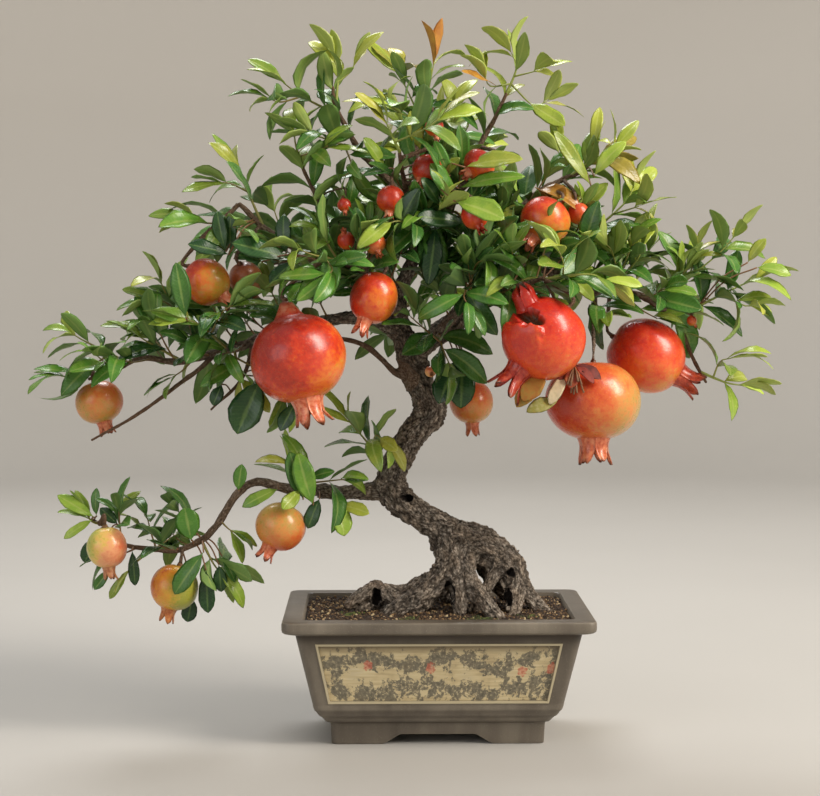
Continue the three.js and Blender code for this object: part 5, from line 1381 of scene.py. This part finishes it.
def make_fruit(name, fruit, seed, *nodes):
    """One fruit: its round, the lobes of its crown with the dried stamens in it, and the stub of its stalk."""
    r, h, neck = fruit["r"], fruit["h"], fruit.get("neck", 0)
    big = r > 30
    way, share, more = BLUSH.get(name, ((-0.2, -0.4, 0.8), 0.6, 0.36))
    burst = name == "fruit_split"
    shape = Shape()

    def put(places, faces, crown=0.0, dry=0.0, paler=0.0):
        facing = (places - fruit["at"]) @ unit(way) / r
        shape.add(places, faces, blush=np.clip(share + more * facing - paler, 0, 1), crown=crown, dry=dry)

    stations, sides = (96, 160) if burst else (40, 64) if big else (26, 40)
    places, faces = fruit_body(fruit, seed, stations, sides)
    bottom = np.clip((-places[:, 2] / h - 0.86) / 0.14, 0, 1) * 0.5
    collar = np.clip((places[:, 2] - h - 0.75 * neck) / (0.25 * neck), 0, 1) * 0.8 if neck else 0
    top = np.clip((places[:, 2] - h + 0.05 * neck) / (0.3 * neck), 0, 1) * 0.7 if neck else 0
    places = stood_up(places, fruit)
    if burst:
        torn, flap = burst_rind(places, fruit)
        put(places, faces, crown=bottom, dry=torn, paler=0.2 * flap)
    else:
        put(places, faces, crown=np.maximum(bottom, top), dry=collar)
    lobes = 6 if big else 5
    for lobe in range(lobes):
        middle, lean = 2 * math.pi * lobe / lobes, 0.4 * math.pi * (chance(seed, lobe) - 0.5) / lobes
        long = 0.85 + 0.3 * chance(seed, lobe + 10)
        curl = 0.14 * (chance(seed, lobe + 20) - 0.4)
        stretch, twist = (1.3, 2) if burst else (1, 1)
        places, faces, dry = crown_petal(fruit, middle, lean, lobes, long * stretch, curl * twist)
        put(stood_up(places, fruit), faces, crown=0.9, dry=dry)
    if burst:
        neck_of_rind = dict(fruit, r=0.95 * r, h=0.98 * h, crown=TORN_NECK_WAY)
        for lobe in range(6):
            off, turned_in, long = (chance(seed, lobe + k) for k in (70, 80, 90))
            middle, curl = 2 * math.pi * (lobe + 0.3 * off) / 6, -0.3 + 0.12 * turned_in
            places, faces, dry = crown_petal(neck_of_rind, middle, 0, 6, 0.3 + 0.7 * long, curl)
            put(stood_up(places, neck_of_rind), faces, crown=0.15, dry=0.3 * dry, paler=-0.1)
    for number in range(14 if big else 7):
        angle, out = 2.4 * number, 0.05 + 0.12 * chance(seed, 40 + number)
        foot = np.array([out * math.cos(angle) * r, out * math.sin(angle) * r, -1.0 * h])
        end = foot * [1.5, 1.5, 1] + [0, 0, -0.28 * h * (0.7 + 0.5 * chance(seed, 60 + number))]
        places, faces = tube(np.array([foot, (foot + end) / 2, end]), np.array([0.02, 0.014, 0.022]) * r, 5)
        put(stood_up(places, fruit), faces, crown=0.3, dry=0.75)
    stem_end = h * (0.95 if not neck else 1) + neck
    stub = np.array([[0, 0, stem_end - 2.5], [0, 0, stem_end], [0, 0, stem_end + 3.0]])
    places, faces = tube(stub, [3.4, 3.0, 2.4], 10)
    put(stood_up(places, fruit), faces, dry=0.9)
    piece = new_object(f"ripe_{name}", shape.mesh(name), skins[fruit["tint"]])
    hand_over(piece, SLOT_OF[fruit["tint"]], *nodes)


TORN_NECK_WAY = [-0.44, -0.2, 0.9]
skins = {tint: fruit_skin(tint) for tint in SKIN_COLOURS}
for order, (name, fruit) in enumerate(FRUITS.items()):
    make_fruit(name, fruit, 5 + order, name)
for order, (name, fruit) in enumerate(SMALL_FRUITS.items()):
    make_fruit(name, fruit, 60 + order)


# ---------------------------------------------------------------- pot

RIM_HALF = np.array([150.0, 100.0])
RIM_CORNER = 9.0
WALL_TOP, WALL_FOOT = (113, 12.5), (49, 27)  # [height, distance in from the rim]
POT_OUTSIDE = [
    (0, 47.3), (0.6, 46.5), (18, 45.6), (20.5, 45.2), (22, 44.2), (22.6, 41.5), (23.4, 40.6), (26, 38.6),
    (28.6, 36.4), (29.4, 35.0), (31.5, 33.4), (34.4, 31.8), (35.4, 30.6), (38, 29.4), (41, 28.6),
]
POT_RIM = [
    (112.2, 12.7), (113.1, 11.8), (113.8, 8.0), (114.6, 5.0), (115.6, 2.0), (117, 0.5), (119, 0.0), (124.6, 0.0),
    (126.2, 0.5), (127, 1.9), (127, 9.0), (127, 17.4), (126.6, 18.9), (125.4, 19.7),
]
POT_INSIDE = [(112, 23.5), (50, 37), (33, 45), (27, 52), (25, 56)]
PANEL_LOW, PANEL_HIGH = 46.0, 102.0
PANEL_RECESS, PANEL_PROUD = 1.8, 0.9
PANEL_EDGE = (128.3, 71.2)  # the panels' sides, measured on the rim's outline
RECESS = ((-1, 58), (12, 60))
FRONT_ARCH = (57, 36, 10)  # half width at the foot and at the top, and height
SIDE_ARCH = (27, 15, 9)
DRAIN_RADIUS, DRAIN_X = 11, 52
# Painted shade in the grooves round the pot, and edges of the rim lighter with wear and, as the last two, painted
# highlights
# on the low ridges: how much, at what height and how wide. The last two are the painted shade in the band under the
# rim's overhang, and how much painted shade the top of the rim has.
GROOVE_SHADE_LINES = [(0.8, 22.2, 0.9), (0.35, 29.0, 0.7), (0.3, 35.0, 0.7), (0.5, 113.2, 1.2)]
WEAR_AND_HIGHLIGHT_LINES = [(0.4, 126, 0.5), (0.4, 117.5, 1.0), (0.3, 38.5, 2.5), (0.25, 27, 1.5)]
UNDER_RIM_SHADE, RIM_TOP_SHADE = (0.95, 112, 8), 0.46


def wall_inset(z):
    (high, near), (low, far) = WALL_TOP, WALL_FOOT
    return far + (near - far) * (z - low) / (high - low)


def side_stations(half, edge, step):
    """Places along one side of the rim, close together where the panel's frame begins and ends."""
    steps = [edge - 0.35, edge + 0.25, edge + 2.3, edge + 2.9]
    middle = np.linspace(-edge + 0.35, edge - 0.35, int(2 * edge / step))[1:-1]
    places = sorted([-s for s in steps] + list(middle) + steps + [-half, half])
    return [p for p in places if abs(p) <= half]


def rim_outline():
    """The rim's outline from the front right corner round against the clock, as x, y."""
    hx, hy = RIM_HALF
    straight_x, straight_y = hx - RIM_CORNER, hy - RIM_CORNER
    long_side = side_stations(straight_x, PANEL_EDGE[0], 6)
    short_side = side_stations(straight_y, PANEL_EDGE[1], 6)
    corner = np.linspace(0, math.pi / 2, 10)[1:-1]
    points = [(hx, y) for y in short_side]
    points += [(straight_x + RIM_CORNER * math.cos(a), straight_y + RIM_CORNER * math.sin(a)) for a in corner]
    points += [(-x, hy) for x in long_side]
    points += [(-straight_x - RIM_CORNER * math.sin(a), straight_y + RIM_CORNER * math.cos(a)) for a in corner]
    points += [(-hx, -y) for y in short_side]
    points += [(-straight_x - RIM_CORNER * math.cos(a), -straight_y - RIM_CORNER * math.sin(a)) for a in corner]
    points += [(x, -hy) for x in long_side]
    points += [(straight_x + RIM_CORNER * math.sin(a), -straight_y - RIM_CORNER * math.cos(a)) for a in corner]
    return np.array(points)


def panel_relief(outline, z):
    """How far each place of the wall stands out or in: the field lies deep, its frame stands proud."""
    relief = np.zeros(len(outline))
    for axis in (0, 1):
        on_side = np.abs(np.abs(outline[:, 1 - axis]) - RIM_HALF[1 - axis]) < 1e-6
        across = np.abs(outline[:, axis])
        edge = PANEL_EDGE[axis]
        in_field = (across < edge) & (PANEL_LOW < z < PANEL_HIGH)
        in_frame = (across < edge + 2.5) & (PANEL_LOW - 2.4 < z < PANEL_HIGH + 2.4)
        relief = np.where(on_side & in_frame, PANEL_PROUD, relief)
        relief = np.where(on_side & in_field, -PANEL_RECESS, relief)
    return relief


def loft(levels):
    """Rows of the rim's outline through the levels: height, distance in from the rim, and True on a panelled wall."""
    outline = rim_outline()
    ways = np.where(np.abs(outline) > RIM_HALF - 1e-6, np.sign(outline), 0)
    rows = []
    for z, inset, *wall in levels:
        places = outline * (1 - inset / RIM_HALF)
        if wall:
            places = places + ways * panel_relief(outline, z)[:, None]
        rows.append(np.column_stack([places, np.full(len(outline), float(z))]))
    return rows


def pot_levels():
    walls = [42.5, 43.4, 43.9, 45.8, 46.4]
    walls += list(np.linspace(PANEL_LOW + 0.4, PANEL_HIGH - 0.4, 12)[1:-1])
    walls += [101.6, 102.2, 104.1, 104.6, 106, 109, 111.4]
    return POT_OUTSIDE + [(z, wall_inset(z), True) for z in walls] + POT_RIM + POT_INSIDE


def arch_block(foot, top, height, depth, turn):
    """The open space under one side of the pot, drawn right through it."""
    bend = [(foot + (top - foot) * s, height * s**2 * (2.2 - 1.2 * s)) for s in np.linspace(0, 1, 8)]
    outline = [(-foot, -1.0), (foot, -1.0)] + bend + [(-x, z) for x, z in bend[::-1]]
    rows = []
    for y in (depth, -depth):
        row = np.array([(x, y, z) for x, z in outline])
        rows.append(row if not turn else row[:, [1, 0, 2]] * [-1, 1, 1])
    return stacked(rows)


def drain_block(x):
    angles = np.arange(32) * 2 * math.pi / 32
    ring = np.stack([x + DRAIN_RADIUS * np.cos(angles), DRAIN_RADIUS * np.sin(angles)], axis=1)
    return stacked([np.column_stack([ring, np.full(32, z)]) for z in (0.0, 40.0)])


def cut_away(piece, blocks):
    """Cuts blocks out of a piece."""
    for places, faces in blocks:
        cutter = new_object("cutter", Shape().add(places, faces).mesh("cutter"))
        cut = piece.modifiers.new("cut", "BOOLEAN")
        cut.operation = "DIFFERENCE"
        cut.solver = "EXACT"
        cut.object = cutter
        baked(piece)
        bpy.data.objects.remove(cutter, do_unlink=True)


def clay_material():
    """Unglazed stoneware burnished by hand: taupe clay with a low sheen and cloudy, with painted shade in its
    grooves, under the rim, on the rim's top and on the foot, and painted highlights on the low ridges.
    """
    material, add = new_material("burnished_stoneware")
    groove, worn, line = (add(f"Attribute {name}", output="Fac") for name in ("groove", "worn", "frame_line"))
    place = add("TexCoord", output="Object")
    cloud = add("TexNoise", place, Scale=16.0, Detail=4.0)
    streaks = add("TexNoise", add("Mapping", place, Scale=(60.0, 60.0, 7.0)), Scale=1.0, Detail=3.0)
    grain = add("TexNoise", place, Scale=900.0, Detail=3.0)
    tone = add("Math ADD", add("Math MULTIPLY", cloud, 0.6), add("Math MULTIPLY", streaks, 0.4))
    clay = add("ValToRGB", tone, stops=[(0.32, "4f483f"), (0.5, "665e53"), (0.66, "7b7366")])
    clay = add("Mix RGBA", add("ValToRGB", grain, stops=[(0.62, 0.0), (0.72, 0.35)]), clay, "a59c8c")
    # painted shade: dark brown in the grooves, in the band under the rim, over the rim's top and on the foot
    clay = add("Mix RGBA", groove, clay, "362c21")
    # wear and painted highlight: the rim's edges are lighter with wear, and the low ridges carry painted light
    # streaks as their highlights
    wear_and_sheen = add("Math MULTIPLY", worn, add("Math MULTIPLY_ADD", streaks, 0.8, 0.1))
    clay = add("Mix RGBA", wear_and_sheen, clay, "b0a796")
    clay = add("Mix RGBA", add("Math MULTIPLY", line, 0.85), clay, "c9bd9c")
    rough = add("Math MULTIPLY_ADD", cloud, 0.3, 0.26)
    bump = add("Bump", Height=grain, Distance=0.0003, Strength=0.4)
    return surfaced(material, Base_Color=clay, Roughness=rough, Normal=bump)


def painted_material():
    """Matt slip painting on the sunk panels: leafy sprays and small blossoms on streaky cream, showing wear with age,
    with painted shade under the frame's upper edge.
    """
    material, add = new_material("slip_painted_panel")
    at = add("Attribute panel_at", output="Vector")
    x, z, _ = add("SeparateXYZ", at, output=None)
    rough = add("TexNoise", at, Scale=0.3, Detail=5.0)
    broad = add("TexNoise", at, Scale=0.045, Detail=3.0)
    strokes = add("TexNoise", add("Mapping", at, Scale=(0.03, 0.4, 1.0)), Scale=1.0, Detail=4.0)
    ground = add("Math ADD", add("Math MULTIPLY", strokes, 0.45), add("Math MULTIPLY", broad, 0.55))
    paint = add("ValToRGB", ground, stops=[(0.34, "ab9a78"), (0.46, "c3b28a"), (0.58, "d2c39c"), (0.72, "ddd1b2")])
    # two sprays cross the panel in long waves, one high and one low, in ragged masses of leaves
    masses = add("TexNoise", at, Scale=0.075, Detail=7.0, Roughness=0.72, Distortion=0.3)
    sprays = []
    for middle, swing, length, phase, thick in ((86.0, 5.0, 96.0, 0.6, 15.0), (56.0, 6.0, 130.0, 2.4, 19.0)):
        turn = add("Math MULTIPLY_ADD", x, 2 * math.pi / length, phase)
        rise = add("Math MULTIPLY", add("Math SINE", turn), swing)
        off = add("Math ABSOLUTE", add("Math SUBTRACT", z, middle, rise))
        near = add("Math SUBTRACT", 1.0, add("Math DIVIDE", off, thick))
        mass = add("Math MULTIPLY_ADD", near, 0.16, masses)
        sprays.append(add("ValToRGB", mass, stops=[(0.57, 0.0), (0.6, 1.0)]))
    leafage = add("TexNoise", at, Scale=0.26, Detail=6.0, Roughness=0.62)
    inks = [(0.36, "44433c"), (0.5, "625f55"), (0.58, "7a735f"), (0.62, "aea386"), (0.7, "cdc3a2")]
    marks = add("Math MULTIPLY", add("Math MAXIMUM", *sprays), 0.88)
    paint = add("Mix RGBA", marks, paint, add("ValToRGB", leafage, stops=inks))
    bloom = add("TexVoronoi", at, Scale=0.03, Randomness=0.8, voronoi_dimensions="2D", output=None)
    chosen = add("Math GREATER_THAN", add("SeparateXYZ", bloom["Color"]), 0.72)
    reach = add("Math ADD", add("Math MULTIPLY", chosen, 0.24), 0.06)
    petal = add("Math LESS_THAN", add("Math MULTIPLY_ADD", rough, 0.3, bloom["Distance"]), reach)
    coral = add("ValToRGB", rough, stops=[(0.38, "b44a34"), (0.5, "c9705a"), (0.62, "d09a80")])
    paint = add("Mix RGBA", add("Math MULTIPLY", petal, 0.7), paint, coral)
    # painted shade: the painting fades into brown under the frame's upper edge, where the sunk field lies in shadow
    height = add("Math DIVIDE", add("Math SUBTRACT", z, 90.0), 12.0)
    paint = add("Mix RGBA", add("ValToRGB", height, stops=[(0.25, 0.0), (0.95, 0.8)]), paint, "5c4f3c")
    paint = add("Mix RGBA", add("ValToRGB", broad, stops=[(0.5, 0.0), (0.75, 0.3)]), paint, "7b6a4c")
    bump = add("Bump", Height=rough, Distance=0.0003, Strength=0.3)
    return surfaced(material, Base_Color=paint, Roughness=0.62, Normal=bump)


def finish_pot(piece):
    """Notes each place's part in the pot for the finishes, and paints the sunk fields of the four panels."""
    mesh = piece.data
    x, y, z = places_of(mesh).T
    inset = wall_inset(z)
    rim_x, rim_y = x / (1 - inset / RIM_HALF[0]), y / (1 - inset / RIM_HALF[1])
    long_side = np.abs(rim_y) / RIM_HALF[1] > np.abs(rim_x) / RIM_HALF[0]
    across = np.where(long_side, rim_x * np.sign(-y), rim_y * np.sign(x))
    edge = np.where(long_side, PANEL_EDGE[0], PANEL_EDGE[1])
    drop = np.where(long_side, RIM_HALF[1] - inset - np.abs(y), RIM_HALF[0] - inset - np.abs(x))
    side = np.where(long_side, np.where(y < 0, 0, 300), np.where(x > 0, 600, 900))
    note(mesh, "panel_at", np.stack([across + side, z, 0 * z], axis=1))
    grooves, worn = (
        sum(much * np.exp(-(((z - height) / width) ** 2)) for much, height, width in lines)
        for lines in (GROOVE_SHADE_LINES, WEAR_AND_HIGHLIGHT_LINES)
    )
    outside = drop < 12
    much, height, width = UNDER_RIM_SHADE
    # painted shade: the band under the rim's overhang, and the foot a little darker
    grooves += much * np.exp(-(((z - height) / width) ** 2)) * (z < 113) + 0.12 * (z < 22)
    on_top = np.clip((z - 126) / 0.8, 0, 1)
    upright = (np.abs(np.abs(across) - edge - 1.2) < 1.5) & (z > 43) & (z < 105)
    level = ((np.abs(z - 44.9) < 1.3) | (np.abs(z - 103.1) < 1.3)) & (np.abs(across) < edge + 2.6)
    frame_line = (upright | level) & (drop < -0.3)
    # painted shade on the top of the rim
    grooves = grooves * outside + RIM_TOP_SHADE * on_top
    for key, value in (("groove", grooves), ("worn", worn * outside), ("frame_line", 1.0 * frame_line)):
        note(mesh, key, np.clip(value, 0, 1))
    field = (np.abs(across) < edge - 0.2) & (z > PANEL_LOW + 0.1) & (z < PANEL_HIGH - 0.1)
    field &= (drop > 1.0) & (drop < 2.6)
    for face in mesh.polygons:
        if all(field[i] for i in face.vertices):
            face.material_index = 1
    mesh.shade_smooth()
    mesh.set_sharp_from_angle(angle=math.radians(38))


body = Shape().add(*stacked(loft(pot_levels()))).mesh("clay_pot")
pot = new_object("clay_pot", body, clay_material(), painted_material())
blocks = [stacked(loft(RECESS)), arch_block(*FRONT_ARCH, 120, False), arch_block(*SIDE_ARCH, 170, True)]
cut_away(pot, blocks + [drain_block(-DRAIN_X), drain_block(DRAIN_X)])
finish_pot(pot)
hand_over(pot, "pot_clay", "pot")


# ---------------------------------------------------------------- soil

SOIL_EDGE, SOIL_MOUND, SOIL_LUMP = 121.5, 4.5, 1.3
SOIL_FLOOR, SOIL_TOP = 26.8, 119.4
GRIT_REACH = (127, 77)  # half the length and width of the strewn part
MOSS_AT = [(30, -62), (46, -66), (86, -48), (-30, -62), (100, 30), (-84, -30), (10, 58)]


def soil_height(x, y):
    mound = (1 - (x / RIM_HALF[0]) ** 2) * (1 - (y / RIM_HALF[1]) ** 2)
    lumps = math.sin(x * 0.21 + y * 0.13) + math.sin(y * 0.31 - x * 0.07) + math.sin(x * 0.47 + 1.7)
    rough = noise.noise(Vector((x * 0.16, y * 0.16, 3.0))) * 1.3 + noise.noise(Vector((x * 0.5, y * 0.5, 9.0))) * 0.7
    return SOIL_EDGE + SOIL_MOUND * mound + SOIL_LUMP * lumps / 3 + rough


def soil_rows():
    """Rows of the soil from its flat foot up the pot's wall and in over its uneven top."""
    rows = loft([(SOIL_FLOOR, 56.3), (33, 45.3), (50, 37.3), (112, 23.8), (119, 22.0)])
    outline = rim_outline() * (1 - 21.4 / RIM_HALF)
    for share in np.linspace(1, 0.02, 54):
        rows.append(np.array([(x, y, soil_height(x, y)) for x, y in outline * share]))
    return rows


def soil_material():
    """Damp bonsai soil: dark brown compost."""
    material, add = new_material("damp_compost")
    crumbs = add("TexNoise", add("TexCoord", output="Object"), Scale=330.0, Detail=5.0)
    brown = add("ValToRGB", crumbs, stops=[(0.32, "17110c"), (0.5, "2c2018"), (0.66, "463424"), (0.78, "6b543c")])
    bump = add("Bump", Height=crumbs, Distance=0.0018, Strength=0.9)
    return surfaced(material, Base_Color=brown, Roughness=0.95, Normal=bump)


def granule_material():
    """Loose grit on the soil: bits of baked clay, bark and pumice, each grain its own brown, tan or buff."""
    material, add = new_material("clay_and_pumice_grit")
    dust = add("TexNoise", add("TexCoord", output="Object"), Scale=700.0, Detail=3.0)
    browns = [(0.0, "1c150f"), (0.4, "33261b"), (0.66, "57412c")]
    buffs = [(0.82, "7f6443"), (0.92, "ab8d62"), (0.98, "cdb990")]
    grain = add("ValToRGB", add("Attribute tone", output="Fac"), stops=browns + buffs)
    grain = add("Mix RGBA", add("Math MULTIPLY", dust, 0.5), grain, "3a2b20")
    return surfaced(material, Base_Color=grain, Roughness=0.9)


def moss_material():
    """Cushion moss: short, soft and matt, bright green on its tips."""
    material, add = new_material("cushion_moss")
    greens = [(0.0, "2c3418"), (0.5, "47532a"), (1.0, "6f7a3c")]
    green = add("ValToRGB", add("Attribute tone", output="Fac"), stops=greens)
    return surfaced(material, Base_Color=green, Roughness=0.95)


def plastic_material():
    """Moulded plastic mesh: black, dull and dusted with soil."""
    material, add = new_material("moulded_plastic_mesh")
    dust = add("TexNoise", add("TexCoord", output="Object"), Scale=260.0, Detail=3.0)
    black = add("ValToRGB", dust, stops=[(0.35, "1d1c1b"), (0.7, "4a4038")])
    return surfaced(material, Base_Color=black, Roughness=0.55)


def scattered_grains():
    """Geometry nodes that strew uneven grains over the marked part of a surface."""
    tree, add, given = geometry_tree(
        "scattered_grains", Density=60000.0, Smallest=0.001, Largest=0.0024, Seed=3, Material=None
    )
    seed = given["Seed"]
    density = add("Math MULTIPLY", given["Density"], add("GeometryNodeInputNamedAttribute FLOAT", "strewn"))
    points = add("GeometryNodeDistributePointsOnFaces", given["Geometry"], Density=density, Seed=seed)
    spin = add("FunctionNodeRandomValue FLOAT_VECTOR", (0, 0, 0), (6.283, 6.283, 6.283), Seed=seed)
    width = add("FunctionNodeRandomValue FLOAT", given["Smallest"], given["Largest"], Seed=11)
    squash = add("FunctionNodeRandomValue FLOAT_VECTOR", (0.7, 0.7, 0.55), (1.25, 1.0, 0.85), Seed=17)
    size = add("VectorMath SCALE", squash, width)
    tone = add("FunctionNodeRandomValue FLOAT", 0.0, 1.0, Seed=23)
    points = add("GeometryNodeStoreNamedAttribute FLOAT", points, Name="tone", Value=tone)
    grain = add("GeometryNodeMeshIcoSphere", Radius=1.0, Subdivisions=1)
    grains = add("GeometryNodeInstanceOnPoints", points, Instance=grain, Rotation=spin, Scale=size)
    grains = add("GeometryNodeRealizeInstances", grains)
    add("NodeGroupOutput", add("GeometryNodeSetMaterial", grains, Material=given["Material"]), output=None)
    return tree


def strewn_piece(name, share, material, **sizes):
    """A copy of the soil's top that is turned into the grains on it."""
    piece = new_object(name, soil.data.copy())
    tops = [share(x, y) if z > SOIL_TOP else 0.0 for x, y, z in places_of(piece.data)]
    note(piece.data, "strewn", tops)
    with_nodes(piece, scattered_grains_tree, material=material, **sizes)
    hand_over(baked(piece), "planting_soil")


def moss_share(x, y):
    near = min(math.hypot(x - mx, y - my) for mx, my in MOSS_AT)
    patch = noise.noise(Vector((x * 0.09, y * 0.09, 1.0)))
    return max(0.0, min(1.0, (10 + 12 * patch - near) / 7))


def grit_share(x, y):
    inside = abs(x) < GRIT_REACH[0] and abs(y) < GRIT_REACH[1]
    return (1.0 - 0.9 * moss_share(x, y)) if inside else 0.0


soil = new_object("soil_bed", Shape().add(*stacked(soil_rows())).mesh("soil_bed"), soil_material())
hand_over(soil, "planting_soil", "soil")
scattered_grains_tree = scattered_grains()
strewn_piece("loose_grit", grit_share, granule_material(), density=150000.0, smallest=0.0008, largest=0.0021, seed=4)
strewn_piece("moss", moss_share, moss_material(), density=600000.0, smallest=0.0006, largest=0.0013, seed=8)

plastic = plastic_material()
for name in ("drain_screen_left", "drain_screen_right"):
    screen = bpy.data.objects[name]
    screen.data.materials.clear()
    screen.data.materials.append(plastic)


# ---------------------------------------------------------------- studio

VIEW_WIDTH, VIEW_REACH = 820, 1911  # the frame's width, and its distance from the eye, in the same unit
CAMERA_TURN = math.atan(32 / VIEW_REACH)  # to the right
CAMERA_TILT = math.atan(113 / VIEW_REACH)  # down
SENSOR_WIDTH = 36
FLOOR_FLAT, FLOOR_BEND = 2600.0, 900.0  # how far the floor runs level, and the radius of its sweep up to the wall
LIGHTS_AIM = (0, 0, 0.42)

camera_data = bpy.data.cameras.new("camera")
camera_data.sensor_width = SENSOR_WIDTH
camera_data.sensor_fit = "HORIZONTAL"
camera_data.lens = SENSOR_WIDTH * VIEW_REACH / VIEW_WIDTH
camera_data.clip_end = 60
camera = bpy.data.objects.new("camera", camera_data)
camera.location = Vector(CAMERA_AT) * MM
camera.rotation_euler = (math.pi / 2 - CAMERA_TILT, 0, -CAMERA_TURN)
scene.collection.objects.link(camera)
scene.camera = camera


def soft_light(name, at, width, height, power, colour):
    """A soft box aimed at the middle of the tree."""
    data = bpy.data.lights.new(name, "AREA")
    data.shape = "RECTANGLE"
    data.size = width
    data.size_y = height
    data.energy = power
    data.color = linear(colour)[:3]
    light = bpy.data.objects.new(name, data)
    light.location = at
    light.rotation_euler = (Vector(LIGHTS_AIM) - Vector(at)).to_track_quat("-Z", "Y").to_euler()
    scene.collection.objects.link(light)


def studio_sweep():
    """A round pale floor that rises in one smooth sweep to a wall all round."""
    flat, bend = FLOOR_FLAT, FLOOR_BEND
    profile = [(0.0, 0.0), (1500.0, 0.0), (flat, 0.0)]
    profile += [(flat + bend * math.sin(a), bend - bend * math.cos(a)) for a in np.linspace(0.15, math.pi / 2, 10)]
    profile += [(flat + bend, 2600.0), (flat + bend, 4200.0)]
    sides = 64
    angles = [2 * math.pi * k / sides for k in range(sides)]
    places = [(radius * math.cos(a), radius * math.sin(a), height) for radius, height in profile for a in angles]
    return Shape().add(places, [face[::-1] for face in grid_faces(len(profile), sides, True)]).mesh("floor")


def paper_material():
    """Seamless paper: matt and faintly cloudy, with painted light and shade: a little lighter up the wall than on the
    floor.
    """
    material, add = new_material("seamless_paper")
    place = add("TexCoord", output="Object")
    # painted shade and light: the floor is painted darker and the wall lighter as it rises, to offset how the lamps
    # light them
    near = add("Mix RGBA", add("TexNoise", place, Scale=1.4, Detail=3.0), "a9a7a3", "b3b1ad")
    height = add("SeparateXYZ", place, output="Z")
    tone = add("Mix RGBA", add("ValToRGB", height, stops=[(0.0, 0.0), (1.0, 1.0)]), near, "c2bfba")
    return surfaced(material, Base_Color=tone, Roughness=0.9)


floor = new_object("floor", studio_sweep(), paper_material())
floor.visible_shadow = False

soft_light("key_light", (2.35, -1.35, 2.35), 0.95, 2.5, 150, "fff6ea")
soft_light("fill_light", (-1.9, -1.8, 1.0), 1.6, 1.6, 12, "eef2fa")
soft_light("top_light", (-0.35, 1.35, 2.4), 1.4, 0.9, 40, "ffffff")

sky = bpy.data.worlds.new("studio")
scene.world = sky
sky.use_nodes = True
background = sky.node_tree.nodes["Background"]
feed(background.inputs["Color"], "f2f0ec")
feed(background.inputs["Strength"], 0.56)
scene.view_settings.view_transform = "Standard"
